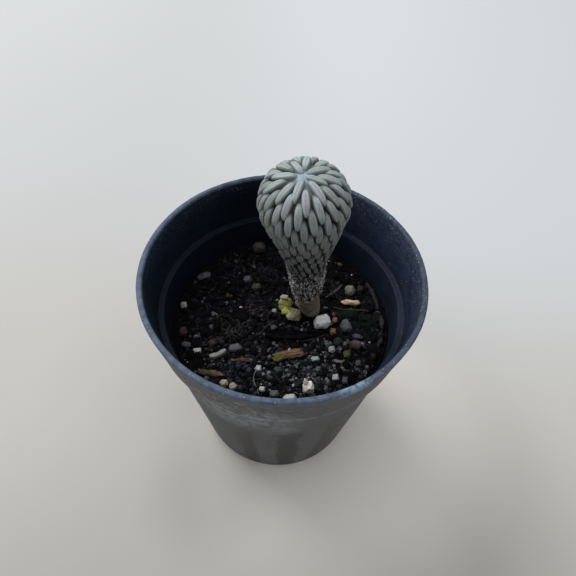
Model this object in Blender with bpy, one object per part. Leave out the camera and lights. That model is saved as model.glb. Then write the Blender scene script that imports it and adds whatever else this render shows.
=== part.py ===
"""A hatchet cactus in a round nursery pot, as closed solids for Blender 4.5.

The pot's axis is Z, its underside lies on Z = 0 and the front of the plant faces -Y.
Every size in this file is in millimetres, and make_object turns it into metres.
"""

import math
import random

import bmesh
import bpy
import numpy as np
from mathutils import Matrix, Vector, noise
from mathutils.bvhtree import BVHTree

MM = 0.001
GAP = 0.3  # kept between pieces that touch

# Pot
POT_HEIGHT = 70.0
RIM_RADIUS = 37.5
LIP_WIDTH = 1.56
COLLAR_BOTTOM_Z = 55.4
COLLAR_BOTTOM_RADIUS = 34.64
LEDGE_Z = 56.4
LEDGE_OUTER_RADIUS = 33.56
BODY_TOP_RADIUS = 33.48
BODY_INNER_TOP_RADIUS = 31.95
BASE_RADIUS = 24.2
FLOOR_THICKNESS = 1.6
FLOOR_INNER_RADIUS = 22.8
POT_SEGMENTS = 60
DRAIN_HOLE_RADIUS = 2.0
DRAIN_HOLE_COUNT = 4
DRAIN_RING_RADIUS = 13.0

# Potting mix
SOIL_LEVEL = 48.2
SOIL_UNEVENNESS = 0.55
SOIL_LUMP_SIZE = 5.5
SOIL_RINGS = 13
SOIL_SEGMENTS = 56

# Plant: its axis stands at ROOT and leans a little to the left and to the front
ROOT = Vector((7.6, 3.6, 48.0))
LEAN_LEFT = math.radians(4.3)
LEAN_FRONT = math.radians(5.5)
FOOT_SHIFT = 1.1  # the foot bends this far to the right of the axis
FOOT_BEND_HEIGHT = 9.0
FOOT = ROOT + Vector((FOOT_SHIFT, 0.0, 0.0))
STEM_OUTLINE = (
    (0.0, 2.0), (2.5, 2.9), (5.0, 3.4), (8.0, 3.7), (13.5, 4.0), (20.0, 4.5), (26.0, 5.2),
    (31.0, 6.0), (36.0, 7.0), (41.0, 8.6), (45.0, 9.9), (47.8, 10.65),
)  # height along the plant's axis, radius over the tubercles
DOME_HEIGHT = 8.9
DOME_FULLNESS = 2.25  # exponent of the dome's superellipse
ROOT_DEPTH = 7.5
ROOT_RADIUS = 2.0

# Tubercles: one per golden angle, each with its own share of the skin
GOLDEN_ANGLE = math.radians(137.508)
FIRST_TUBERCLE_ANGLE = math.radians(203.0)
TUBERCLE_AREA = ((0.0, 5.0), (20.0, 5.0), (26.0, 5.4), (31.0, 6.5), (36.0, 8.5), (41.0, 10.5), (47.8, 12.0))
TUBERCLE_RISE = ((0.0, 0.35), (13.0, 0.5), (20.0, 0.8), (31.0, 1.2), (41.0, 1.7), (47.8, 1.9))
TUBERCLE_STRETCH = ((0.0, 1.3), (20.0, 1.5), (31.0, 2.2), (47.8, 3.0))  # length over width
LOWEST_TUBERCLE = 6.5  # height along the axis where the smooth root collar starts
COLLAR_HEIGHT = 2.6
APEX_BLEND = 4.5  # distance from the growing point over which the grooves deepen
BALL_EQUATOR = 20.0  # distance from the growing point that lies on the ordering ball's equator
APEX_DIP = 0.5
SHOULDER_SCALE = 0.72
SHOULDER_DROP = 0.22
CREST_SCALE = 0.5


def clear_scene():
    """Removes every object of the open file."""
    for thing in list(bpy.data.objects):
        bpy.data.objects.remove(thing, do_unlink=True)


def make_material(name, color, roughness):
    """Returns a Principled material of one colour."""
    material = bpy.data.materials.new(name)
    material.use_nodes = True
    shader = material.node_tree.nodes["Principled BSDF"]
    shader.inputs["Base Color"].default_value = (*color, 1.0)
    shader.inputs["Roughness"].default_value = roughness
    shader.inputs["Metallic"].default_value = 0.0
    return material


def make_object(name, points, faces, color, roughness=0.9, sharp_degrees=40.0):
    """Links a mesh object made from points in millimetres and returns it."""
    mesh = bpy.data.meshes.new(name)
    mesh.from_pydata([Vector(p) * MM for p in points], [], faces)
    shape = bmesh.new()
    shape.from_mesh(mesh)
    bmesh.ops.triangulate(shape, faces=[f for f in shape.faces if len(f.verts) > 4])
    bmesh.ops.recalc_face_normals(shape, faces=shape.faces)
    shape.to_mesh(mesh)
    shape.free()
    mesh.shade_smooth()
    mesh.set_sharp_from_angle(angle=math.radians(sharp_degrees))
    thing = bpy.data.objects.new(name, mesh)
    bpy.context.collection.objects.link(thing)
    mesh.materials.append(make_material(name, color, roughness))
    return thing


# The pot


def turned(profile, segments):
    """Returns the points and faces of an outline (radius, z) turned about Z."""
    points, rows, faces = [], [], []
    for radius, z in profile:
        if radius == 0:
            rows.append([len(points)] * segments)
            points.append((0.0, 0.0, z))
            continue
        rows.append(list(range(len(points), len(points) + segments)))
        for i in range(segments):
            angle = math.tau * i / segments
            points.append((radius * math.cos(angle), radius * math.sin(angle), z))
    for low, high in zip(rows, rows[1:]):
        for i in range(segments):
            j = (i + 1) % segments
            corners = dict.fromkeys((low[i], low[j], high[j], high[i]))
            faces.append(tuple(corners))
    return points, faces


def inner_wall_radius(z):
    """Returns the pot's inner radius under its ledge at the height z."""
    rise = (z - FLOOR_THICKNESS) / (LEDGE_Z - FLOOR_THICKNESS)
    return FLOOR_INNER_RADIUS + rise * (BODY_INNER_TOP_RADIUS - FLOOR_INNER_RADIUS)


def make_pot():
    """Builds the pot: base, tapering body, step, collar, lip and inner ledge."""
    profile = (
        (0.0, 0.0),
        (BASE_RADIUS - 1.3, 0.0),
        (BASE_RADIUS - 0.4, 0.4),
        (BASE_RADIUS, 1.3),
        (BODY_TOP_RADIUS, COLLAR_BOTTOM_Z),
        (COLLAR_BOTTOM_RADIUS - 0.2, COLLAR_BOTTOM_Z),
        (COLLAR_BOTTOM_RADIUS, COLLAR_BOTTOM_Z + 0.3),
        (RIM_RADIUS - 0.1, POT_HEIGHT - 0.8),
        (RIM_RADIUS, POT_HEIGHT - 0.45),
        (RIM_RADIUS - 0.2, POT_HEIGHT - 0.05),
        (RIM_RADIUS - 0.5, POT_HEIGHT),
        (RIM_RADIUS - LIP_WIDTH + 0.25, POT_HEIGHT),
        (RIM_RADIUS - LIP_WIDTH, POT_HEIGHT - 0.3),
        (LEDGE_OUTER_RADIUS, LEDGE_Z + 0.2),
        (LEDGE_OUTER_RADIUS - 0.2, LEDGE_Z),
        (BODY_INNER_TOP_RADIUS, LEDGE_Z),
        (FLOOR_INNER_RADIUS, FLOOR_THICKNESS),
        (0.0, FLOOR_THICKNESS),
    )
    points, faces = turned(profile, POT_SEGMENTS)
    pot = make_object("pot", points, faces, (0.035, 0.05, 0.085), 0.45)
    for i in range(DRAIN_HOLE_COUNT):
        angle = math.tau * (i + 0.5) / DRAIN_HOLE_COUNT
        outline = ((0.0, -3.0), (DRAIN_HOLE_RADIUS, -3.0), (DRAIN_HOLE_RADIUS, 6.0), (0.0, 6.0))
        points, faces = turned(outline, 12)
        cutter = make_object(f"drain_cutter_{i}", points, faces, (0.0, 0.0, 0.0))
        cutter.location = (
            DRAIN_RING_RADIUS * math.cos(angle) * MM,
            DRAIN_RING_RADIUS * math.sin(angle) * MM,
            0.0,
        )
        cutter.hide_render = True
        cutter.display_type = "WIRE"
        cut = pot.modifiers.new(f"drain_{i}", "BOOLEAN")
        cut.operation = "DIFFERENCE"
        cut.object = cutter
    return pot


# The potting mix


def soil_height(x, y):
    """Returns the height of the potting mix's uneven top at (x, y)."""
    place = Vector((x, y, 0.0)) / SOIL_LUMP_SIZE
    broad = noise.noise(place * 0.4 + Vector((3.1, 7.7, 1.3)))
    fine = noise.noise(place + Vector((9.2, 1.4, 5.0)))
    return SOIL_LEVEL + SOIL_UNEVENNESS * (0.9 * broad + 0.7 * fine)


def make_soil():
    """Builds the plug of potting mix with the plain hole that the root stands in."""
    hole_radius = ROOT_RADIUS + GAP
    hole_floor = ROOT.z - ROOT_DEPTH - GAP
    bottom = FLOOR_THICKNESS + GAP
    points, rows = [], []

    def add_row(place_at):
        rows.append(list(range(len(points), len(points) + SOIL_SEGMENTS)))
        for i in range(SOIL_SEGMENTS):
            points.append(place_at(math.tau * i / SOIL_SEGMENTS))

    def on_hole(angle, z):
        return (FOOT.x + hole_radius * math.cos(angle), FOOT.y + hole_radius * math.sin(angle), z)

    add_row(lambda angle: on_hole(angle, hole_floor))
    for ring in range(SOIL_RINGS):
        share = (ring / (SOIL_RINGS - 1)) ** 0.85
        edge = inner_wall_radius(SOIL_LEVEL) - GAP

        def on_top(angle, share=share, edge=edge):
            inner = on_hole(angle, 0.0)
            x = inner[0] + share * (edge * math.cos(angle) - inner[0])
            y = inner[1] + share * (edge * math.sin(angle) - inner[1])
            return (x, y, soil_height(x, y))

        add_row(on_top)
    low = inner_wall_radius(bottom) - GAP
    add_row(lambda angle: (low * math.cos(angle), low * math.sin(angle), bottom))
    faces = [tuple(rows[0]), tuple(rows[-1])]
    for inner, outer in zip(rows, rows[1:]):
        for i in range(SOIL_SEGMENTS):
            j = (i + 1) % SOIL_SEGMENTS
            faces.append((inner[i], inner[j], outer[j]))
            faces.append((inner[i], outer[j], outer[i]))
    return make_object("potting_mix", points, faces, (0.02, 0.017, 0.015), 0.95)


# The cactus


class Skin:
    """The plant's outer surface, measured from its growing point downwards."""

    def __init__(self):
        stem_top = STEM_OUTLINE[-1][0]
        dome_radius = STEM_OUTLINE[-1][1]
        quarter = np.linspace(math.pi / 2, 0.0, 90)
        dome_t = stem_top + DOME_HEIGHT * np.sin(quarter) ** (2 / DOME_FULLNESS)
        dome_r = dome_radius * np.abs(np.cos(quarter)) ** (2 / DOME_FULLNESS)
        stem_t = np.linspace(stem_top, 0.0, 200)[1:]
        corners = np.array(STEM_OUTLINE)
        rough = np.interp(stem_t, corners[:, 0], corners[:, 1])
        kernel = np.hanning(13) / np.hanning(13).sum()
        stem_r = np.convolve(np.pad(rough, 6, mode="edge"), kernel, mode="valid")
        self.t = np.concatenate([dome_t, stem_t])
        self.r = np.concatenate([dome_r, stem_r])
        self.r[0] = 0.0
        step = np.hypot(np.diff(self.t), np.diff(self.r))
        self.s = np.concatenate([[0.0], np.cumsum(step)])
        share = np.interp(self.t, *np.array(TUBERCLE_AREA).T)
        ring = math.pi * (self.r[1:] + self.r[:-1]) * step / (0.5 * (share[1:] + share[:-1]))
        self.count = np.concatenate([[0.0], np.cumsum(ring)])
        stretch = np.interp(self.t, *np.array(TUBERCLE_STRETCH).T)
        pace = 1.0 / (stretch * np.maximum(self.r, 0.25))
        turn = 0.5 * (pace[1:] + pace[:-1]) * step
        self.latitude = np.concatenate([[0.0], np.cumsum(turn)])
        self.middle = np.interp(BALL_EQUATOR, self.s, self.latitude)
        across = Vector((0, 1, 0)).cross(self.axis())
        self.side = across.normalized()
        self.back = self.axis().cross(self.side)

    @staticmethod
    def axis():
        """Returns the direction in which the plant grows."""
        return Vector((-math.tan(LEAN_LEFT), -math.tan(LEAN_FRONT), 1.0)).normalized()

    def at(self, angle, s, sink=0.0):
        """Returns the point at an angle and a distance from the growing point, sunk inwards."""
        t = float(np.interp(s, self.s, self.t))
        r = float(np.interp(s, self.s, self.r))
        near, far = max(s - 0.4, 0.0), s + 0.4
        dt = float(np.interp(far, self.s, self.t) - np.interp(near, self.s, self.t))
        dr = float(np.interp(far, self.s, self.r) - np.interp(near, self.s, self.r))
        length = math.hypot(dt, dr)
        t -= sink * dr / length
        r += sink * dt / length
        out = self.side * math.cos(angle) + self.back * math.sin(angle)
        bend = max(0.0, 1.0 - t / FOOT_BEND_HEIGHT)
        return ROOT + self.axis() * t + out * r + Vector((FOOT_SHIFT * bend * bend, 0.0, 0.0))

    def to_ball(self, angle, s):
        """Maps a place on the skin to the unit ball that orders the tubercles."""
        latitude = float(np.interp(s, self.s, self.latitude)) - self.middle
        polar = 2.0 * math.atan(math.exp(latitude))
        return Vector((
            math.sin(polar) * math.cos(angle),
            math.sin(polar) * math.sin(angle),
            math.cos(polar),
        ))

    def from_ball(self, direction):
        """Returns the angle and distance of a place on the unit ball."""
        polar = math.acos(max(-1.0, min(1.0, direction.z)))
        latitude = math.log(max(math.tan(polar / 2), 1e-6)) + self.middle
        s = float(np.interp(latitude, self.latitude, self.s))
        return math.atan2(direction.y, direction.x), s

    def rise(self, s):
        """Returns the height of the tubercles over the grooves at a distance s."""
        t = float(np.interp(s, self.s, self.t))
        blend = min(s / APEX_BLEND, 1.0)
        full = float(np.interp(t, *np.array(TUBERCLE_RISE).T))
        return full * blend * blend * (3 - 2 * blend)


def tubercle_places(skin):
    """Returns the angle and the distance from the growing point of each tubercle."""
    lowest = float(np.interp(-LOWEST_TUBERCLE, -skin.t, skin.count))
    places = []
    for n in range(1, int(lowest)):
        s = float(np.interp(n + 0.5, skin.count, skin.s))
        places.append((FIRST_TUBERCLE_ANGLE + GOLDEN_ANGLE * n, s))
    return places


def neighbour_cells(balls):
    """Returns the corners of each tubercle's cell, in order, and all the corners."""
    hull = bmesh.new()
    for ball in balls:
        hull.verts.new(ball)
    hull.verts.index_update()
    bmesh.ops.convex_hull(hull, input=hull.verts)
    bmesh.ops.triangulate(hull, faces=hull.faces)
    bmesh.ops.recalc_face_normals(hull, faces=hull.faces)
    hull.faces.ensure_lookup_table()
    hull.verts.ensure_lookup_table()
    hull.faces.index_update()
    hull.verts.index_update()
    corners = []
    for face in hull.faces:
        a, b, c = (v.co for v in face.verts)
        corners.append((b - a).cross(c - a).normalized())
    cells = []
    for vert in hull.verts:
        cell = []
        loop = start = vert.link_loops[0]
        while True:
            cell.append(loop.face.index)
            loop = loop.link_loop_prev.link_loop_radial_next
            if loop == start:
                break
        cells.append(cell)
    hull.free()
    return cells, corners


def make_cactus():
    """Builds the plant: every tubercle is a ridged cell raised over its grooves."""
    skin = Skin()
    places = tubercle_places(skin)
    balls = [skin.to_ball(*place) for place in places]
    apex, foot = len(balls), len(balls) + 1
    balls += [Vector((0, 0, 1)), Vector((0, 0, -1))]
    cells, corners = neighbour_cells(balls)
    corner_places = [skin.from_ball(corner) for corner in corners]
    points = [skin.at(angle, s, skin.rise(s)) for angle, s in corner_places]
    faces = []

    def add(point):
        points.append(point)
        return len(points) - 1

    for (angle, s), cell in zip(places, cells):
        radius = float(np.interp(s, skin.s, skin.r))
        rise = skin.rise(s)
        offsets = []
        for corner in cell:
            corner_angle, corner_s = corner_places[corner]
            turn = (corner_angle - angle + math.pi) % math.tau - math.pi
            offsets.append((turn, corner_s - s))
        reach = max(abs(along) for turn, along in offsets)
        crest = [
            add(skin.at(angle, max(s + way * reach * CREST_SCALE, 0.3)))
            for way in (-1, 1)
        ]
        ring, ends = [], []
        for turn, along in offsets:
            place = (angle + SHOULDER_SCALE * turn, s + SHOULDER_SCALE * along)
            ring.append(add(skin.at(*place, SHOULDER_DROP * rise)))
            ends.append(crest[0] if along < 0 else crest[1])
        for i, corner in enumerate(cell):
            j = (i + 1) % len(cell)
            faces.append((corner, cell[j], ring[j]))
            faces.append((corner, ring[j], ring[i]))
            faces.append((ring[i], ring[j], ends[j]))
            if ends[i] != ends[j]:
                faces.append((ring[i], ends[j], ends[i]))
    top = add(skin.at(0.0, 0.0) - skin.axis() * APEX_DIP)
    for i, corner in enumerate(cells[apex]):
        faces.append((corner, cells[apex][(i + 1) % len(cells[apex])], top))
    collar, low_ring, end_ring = [], [], []
    for corner in cells[foot]:
        angle = corner_places[corner][0]
        collar.append(add(skin.at(angle, skin.s[-1] - COLLAR_HEIGHT)))
        out = Vector((math.cos(angle), math.sin(angle), 0)) * ROOT_RADIUS
        low_ring.append(add(FOOT + out))
        end_ring.append(add(FOOT + out - Vector((0, 0, ROOT_DEPTH))))
    rows = [cells[foot], collar, low_ring, end_ring]
    for upper, lower in zip(rows, rows[1:]):
        for i in range(len(upper)):
            j = (i + 1) % len(upper)
            faces.append((upper[i], upper[j], lower[j], lower[i]))
    faces.append(tuple(end_ring))
    return make_object("cactus", points, faces, (0.33, 0.38, 0.34), 0.75, 60.0)


# The loose pieces

DROP_HEIGHT = 60.0  # loose pieces are made at this height and lowered onto the mix
RAY_START = 200.0


def resting(points, faces, grounds):
    """Lowers points, in millimetres, until they lie GAP above the grounds."""
    body = BVHTree.FromPolygons(points, faces)
    room = math.inf
    for ground_points, ground_faces, ground in grounds:
        for point in points:
            hit = ground.ray_cast(Vector((point.x, point.y, RAY_START)), Vector((0, 0, -1)))
            if hit[0]:
                room = min(room, point.z - hit[0].z)
        for point in ground_points:
            hit = body.ray_cast(Vector((point.x, point.y, -RAY_START)), Vector((0, 0, 1)))
            if hit[0]:
                room = min(room, hit[0].z - point.z)
    return [point - Vector((0, 0, room - GAP)) for point in points]


def ground_of(thing):
    """Returns an object's mesh in millimetres with its search tree."""
    points = [v.co / MM for v in thing.data.vertices]
    faces = [tuple(p.vertices) for p in thing.data.polygons]
    return points, faces, BVHTree.FromPolygons(points, faces)


def lump(size, boxiness, corners, seed):
    """Returns a convex lump: points spread over a ball, squared off and cut flat below."""
    draw = random.Random(seed)
    half = Vector(size) / 2
    shape = bmesh.new()
    for i in range(corners):
        z = 1 - (2 * i + 1) / corners
        around = math.sqrt(1 - z * z)
        angle = 2.399963 * i + draw.uniform(-0.25, 0.25)
        ball = (around * math.cos(angle), around * math.sin(angle), z)
        square = [math.copysign(abs(c) ** (1 - 0.55 * boxiness), c) for c in ball]
        square = [c * draw.uniform(1 - 0.22 * boxiness, 1.0) for c in square]
        square[2] = max(square[2], -0.55)
        shape.verts.new([c * h for c, h in zip(square, half)])
    bmesh.ops.convex_hull(shape, input=shape.verts)
    loose = [v for v in shape.verts if not v.link_faces]
    bmesh.ops.delete(shape, geom=loose, context="VERTS")
    shape.verts.index_update()
    points = [v.co.copy() for v in shape.verts]
    faces = [tuple(v.index for v in f.verts) for f in shape.faces]
    shape.free()
    low = [min(p[i] for p in points) for i in range(3)]
    high = [max(p[i] for p in points) for i in range(3)]
    points = [
        Vector([(p[i] - (low[i] + high[i]) / 2) * size[i] / (high[i] - low[i]) for i in range(3)])
        for p in points
    ]
    return points, faces


PALE = (0.72, 0.72, 0.69)
CREAM = (0.68, 0.62, 0.52)
GREY = (0.30, 0.31, 0.32)
DARK = (0.07, 0.075, 0.075)
GREEN_GREY = (0.33, 0.38, 0.34)
RUST = (0.36, 0.14, 0.06)
BARK = (0.10, 0.06, 0.045)

# name, x, y, (length, depth, height), turn in degrees, boxiness, corners, colour
LUMPS = (
    ("white_pebble", 11.7, -0.9, (4.8, 3.7, 3.3), 20, 0.7, 18, PALE),
    ("pink_stone_back", -8.2, 25.6, (4.2, 3.4, 3.0), 10, 0.3, 18, (0.55, 0.40, 0.38)),
    ("grey_flake_back", -23.7, 13.8, (4.6, 2.2, 1.3), 25, 0.5, 16, GREY),
    ("grey_stone_mid_back", -10.6, 12.9, (2.6, 2.4, 2.0), 0, 0.4, 14, GREY),
    ("olive_stone_mid_back", -7.9, 10.5, (2.8, 2.3, 1.7), 15, 0.5, 14, (0.22, 0.23, 0.15)),
    ("cream_stone_far_left", -28.0, 2.4, (1.9, 1.9, 1.9), 0, 0.3, 14, CREAM),
    ("brown_stone_left", -26.9, -6.4, (2.2, 2.6, 1.9), 10, 0.5, 14, (0.20, 0.14, 0.09)),
    ("grey_chip_left", -25.5, -10.5, (2.5, 1.7, 1.3), -10, 0.6, 14, GREY),
    ("white_chip_left", -22.4, -11.9, (2.4, 1.4, 1.0), 15, 0.7, 12, PALE),
    ("orange_stone_left", -18.4, -9.3, (2.5, 1.9, 1.6), 5, 0.4, 14, (0.36, 0.19, 0.09)),
    ("grey_chunk_left", -11.9, -10.7, (3.8, 2.3, 1.6), 10, 0.7, 16, GREY),
    ("bark_sliver_front", -10.3, -14.2, (5.4, 1.3, 0.9), 3, 0.8, 14, RUST),
    ("bark_chip_front", 2.9, -12.1, (9.9, 2.9, 1.8), 18, 0.8, 22, (0.26, 0.15, 0.08)),
    ("bark_piece_left", -17.7, -18.9, (7.8, 1.8, 1.2), -4, 0.8, 18, (0.24, 0.20, 0.10)),
    ("cream_stone_left_a", -13.9, -21.9, (2.3, 2.1, 1.9), 0, 0.4, 14, CREAM),
    ("cream_stone_left_b", -11.5, -22.6, (2.1, 2.0, 1.7), 30, 0.5, 14, CREAM),
    ("white_stone_front", 3.6, -25.3, (3.7, 2.4, 2.1), 5, 0.5, 16, PALE),
    ("grey_stone_front", -0.5, -24.1, (2.6, 1.9, 1.6), 0, 0.6, 14, GREEN_GREY),
    ("cream_crystal", 8.3, -22.1, (3.1, 2.8, 3.2), 10, 0.5, 18, CREAM),
    ("grey_stone_mid", 0.1, -16.9, (2.2, 1.9, 1.4), 10, 0.6, 14, GREY),
    ("white_grain_mid", -5.2, -16.8, (1.7, 1.7, 1.5), 0, 0.5, 12, PALE),
    ("white_grain_front", -3.8, -22.8, (1.7, 1.5, 1.3), 0, 0.7, 12, PALE),
    ("round_green_stone", 19.8, 11.1, (3.2, 3.2, 2.7), 0, 0.1, 20, GREEN_GREY),
    ("orange_bark_chip", 19.9, 7.0, (5.8, 1.8, 1.6), 0, 0.6, 16, (0.52, 0.30, 0.13)),
    ("dark_slab", 19.2, 2.9, (6.2, 2.9, 1.3), 3, 0.8, 16, DARK),
    ("grey_slab", 24.4, 2.0, (2.9, 2.4, 1.0), 0, 0.8, 14, DARK),
    ("grey_green_stone", 18.4, -1.7, (3.3, 3.7, 2.6), 15, 0.5, 18, GREEN_GREY),
    ("orange_stone_upper", 15.3, 0.5, (1.6, 1.9, 1.5), 0, 0.4, 12, (0.45, 0.24, 0.12)),
    ("orange_stone_lower", 14.7, -3.5, (1.9, 2.0, 1.8), 0, 0.5, 12, (0.50, 0.28, 0.10)),
    ("green_stone_low", 16.1, -6.7, (2.8, 2.2, 1.5), 25, 0.5, 14, (0.16, 0.19, 0.18)),
    ("purple_flake", 21.7, -4.6, (3.2, 1.5, 0.9), -8, 0.6, 14, (0.17, 0.15, 0.22)),
    ("red_brown_stone", 20.8, -7.8, (3.4, 2.7, 2.1), -15, 0.6, 16, (0.30, 0.15, 0.12)),
    ("olive_bead", 18.5, -10.9, (2.2, 2.2, 2.0), 0, 0.1, 16, (0.38, 0.33, 0.12)),
    ("perlite_ball", 14.4, -9.5, (1.9, 1.9, 1.8), 0, 0.1, 16, (0.80, 0.80, 0.78)),
    ("pale_oblong_pebble", 9.9, -12.7, (2.4, 1.4, 1.1), 5, 0.5, 12, PALE),
    ("bark_sliver_right", 16.6, -13.1, (3.3, 0.9, 0.8), -15, 0.7, 12, (0.42, 0.27, 0.15)),
    ("grey_grain_right", 21.6, -13.4, (1.8, 1.7, 1.5), 0, 0.3, 12, (0.55, 0.55, 0.55)),
    ("white_stone_right", 15.4, -18.2, (2.0, 1.8, 1.5), 10, 0.7, 12, PALE),
    ("grey_stone_right", 17.9, -19.0, (1.6, 2.0, 1.5), 0, 0.5, 12, GREY),
    ("grey_grain_mid", 10.8, -15.9, (1.7, 1.8, 1.4), 0, 0.4, 12, (0.50, 0.50, 0.50)),
    ("bark_block_right", 22.9, 12.2, (2.0, 3.0, 1.4), 0, 0.9, 14, BARK),
    ("dark_bark_slab", -7.3, 1.5, (8.6, 3.6, 1.3), -24, 0.8, 20, (0.06, 0.045, 0.05)),
)


def make_lumps(soil):
    """Builds the stones, grains and bark chips that lie on the potting mix."""
    ground = ground_of(soil)
    for seed, (name, x, y, size, turn, boxiness, corners, color) in enumerate(LUMPS):
        points, faces = lump(size, boxiness, corners, seed)
        spin = Matrix.Rotation(math.radians(turn), 3, "Z")
        points = [spin @ p + Vector((x, y, DROP_HEIGHT)) for p in points]
        points = resting(points, faces, [ground])
        make_object(name, points, faces, color, 0.85, 25.0)


def swept(path, width, height):
    """Returns a flat bar along a path on the ground, pointed a little at its ends."""
    points, faces = [], []
    for i, place in enumerate(path):
        before, after = path[max(i - 1, 0)], path[min(i + 1, len(path) - 1)]
        along = Vector((after[0] - before[0], after[1] - before[1], 0)).normalized()
        across = Vector((-along.y, along.x, 0))
        full = 0.6 if i in (0, len(path) - 1) else 1.0
        centre = Vector((place[0], place[1], DROP_HEIGHT))
        for side, up in ((-1, -1), (1, -1), (1, 1), (-1, 1)):
            reach = across * (side * full * width / 2 * (0.8 if up > 0 else 1.0))
            points.append(centre + reach + Vector((0, 0, up * height / 2)))
        if i:
            first = 4 * (i - 1)
            for k in range(4):
                n = (k + 1) % 4
                faces.append((first + k, first + n, first + 4 + n, first + 4 + k))
    last = 4 * (len(path) - 1)
    faces += [(0, 1, 2, 3), (last, last + 1, last + 2, last + 3)]
    return points, faces


# name, width, height, colour, path
STRIPS = (
    ("bark_strip_wall_back", 1.3, 1.0, BARK, ((24.8, 14.9), (26.6, 11.4), (27.6, 8.0), (28.0, 4.9))),
    ("bark_strip_wall_middle", 1.4, 1.0, BARK, ((28.3, 2.9), (28.6, 0.4), (28.4, -2.0))),
    ("bark_strip_wall_front", 1.3, 0.9, BARK, ((28.3, -4.4), (27.9, -6.2), (27.2, -8.0))),
    ("bone_pebble", 1.7, 1.4, PALE, ((-18.6, -13.9), (-17.2, -13.3), (-15.8, -12.5), (-14.6, -11.6))),
    ("twig", 0.8, 0.7, (0.16, 0.12, 0.10), ((12.6, 8.6), (14.4, 10.2), (16.2, 11.9), (17.4, 13.6))),
)


def make_strips(soil):
    """Builds the long flat pieces that lie on the potting mix."""
    ground = ground_of(soil)
    for name, width, height, color, path in STRIPS:
        points, faces = swept(path, width, height)
        points = resting(points, faces, [ground])
        make_object(name, points, faces, color, 0.9, 30.0)


BLADE_SPINE = (
    (-4.2, -5.7, 1.6), (-1.2, -5.9, 3.0), (2.2, -6.0, 3.3), (5.2, -5.8, 2.9),
    (8.2, -5.3, 2.1), (11.0, -4.6, 1.3), (13.0, -3.9, 0.7),
)  # x, y and width along the middle of the dark bark blade
BLADE_CUP = 1.1  # height of the blade's edges over its middle where it is widest
BLADE_THICKNESS = 0.7


def make_blade(soil):
    """Builds the dark bark blade in front of the stem, a shallow trough that opens upwards."""
    widest = max(width for x, y, width in BLADE_SPINE)
    shares = (-1.0, -0.5, 0.0, 0.5, 1.0)
    ring = [(share, 0.0) for share in shares] + [(share, BLADE_THICKNESS) for share in reversed(shares)]
    points, faces = [], []
    for i, (x, y, width) in enumerate(BLADE_SPINE):
        before, after = BLADE_SPINE[max(i - 1, 0)], BLADE_SPINE[min(i + 1, len(BLADE_SPINE) - 1)]
        across = Vector((before[1] - after[1], after[0] - before[0], 0)).normalized()
        for share, up in ring:
            cup = BLADE_CUP * share * share * width / widest
            points.append(Vector((x, y, DROP_HEIGHT + up + cup)) + across * (share * width / 2))
        if i:
            first = len(ring) * (i - 1)
            for k in range(len(ring)):
                n = (k + 1) % len(ring)
                faces.append((first + k, first + n, first + len(ring) + n, first + len(ring) + k))
    last = len(ring) * (len(BLADE_SPINE) - 1)
    faces += [tuple(range(len(ring))), tuple(range(last, last + len(ring)))]
    points = resting(points, faces, [ground_of(soil)])
    make_object("dark_bark_blade", points, faces, BARK, 0.9, 30.0)


def lobed(centre, lobes, subdivisions, flat_z):
    """Returns a ball whose surface follows the outermost of several lobes."""
    shape = bmesh.new()
    bmesh.ops.create_icosphere(shape, subdivisions=subdivisions, radius=1.0)
    for vert in shape.verts:
        ray = vert.co.normalized()
        reach = 0.0
        for lobe, radius in lobes:
            offset = Vector(lobe) - Vector(centre)
            along = offset.dot(ray)
            inside = radius * radius - (offset.length_squared - along * along)
            if inside > 0:
                reach = max(reach, along + math.sqrt(inside))
        vert.co = Vector(centre) + ray * reach
        vert.co.z = max(vert.co.z, flat_z)
    shape.verts.index_update()
    points = [v.co.copy() for v in shape.verts]
    faces = [tuple(v.index for v in f.verts) for f in shape.faces]
    shape.free()
    return points, faces


MOSS_CENTRE = (1.3, 2.2, 50.5)
MOSS_LOBES = (
    ((0.6, 3.9, 51.9), 1.5), ((0.2, 4.2, 51.1), 1.25), ((1.4, 3.9, 51.4), 1.25),
    ((0.4, 3.0, 50.7), 1.45), ((1.9, 1.3, 50.4), 1.5), ((1.7, 0.6, 50.1), 1.3),
    ((2.6, 0.9, 50.0), 1.3), ((1.2, 1.6, 50.3), 1.6), ((4.3, 0.3, 50.0), 1.5),
)


def make_moss(soil):
    """Builds the lumpy moss tuft and the cream flake that lies on it."""
    points, faces = lobed(MOSS_CENTRE, MOSS_LOBES, 3, 49.0)
    points = resting(points, faces, [ground_of(soil)])
    moss = make_object("moss_tuft", points, faces, (0.34, 0.36, 0.08), 0.9)
    points, faces = lump((2.3, 1.5, 0.8), 0.6, 12, 77)
    points = [p + Vector((0.5, 4.35, DROP_HEIGHT)) for p in points]
    points = resting(points, faces, [ground_of(soil), ground_of(moss)])
    make_object("cream_flake", points, faces, CREAM, 0.85, 25.0)
    points, faces = lump((1.6, 1.4, 1.2), 0.5, 12, 78)
    points = [p + Vector((-2.1, 2.4, DROP_HEIGHT)) for p in points]
    points = resting(points, faces, [ground_of(soil)])
    make_object("white_stone_by_moss", points, faces, PALE, 0.85, 25.0)


def main():
    """Builds every piece of the potted plant."""
    clear_scene()
    make_pot()
    soil = make_soil()
    make_cactus()
    make_lumps(soil)
    make_strips(soil)
    make_blade(soil)
    make_moss(soil)


main()
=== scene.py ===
"""A hatchet cactus in its nursery pot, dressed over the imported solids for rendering.

Sizes are in millimetres, in the part's own frame, and new_piece turns points into metres.
Shader nodes read metres, so ramp_mm turns its ends into them. Angles are in degrees where
a name says so.
"""

import logging
import math
import random
from dataclasses import dataclass, field
from enum import Enum
from typing import Iterable, Sequence

import bmesh
import bpy
import numpy as np
from mathutils import Matrix, Vector, noise
from mathutils.bvhtree import BVHTree


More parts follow.
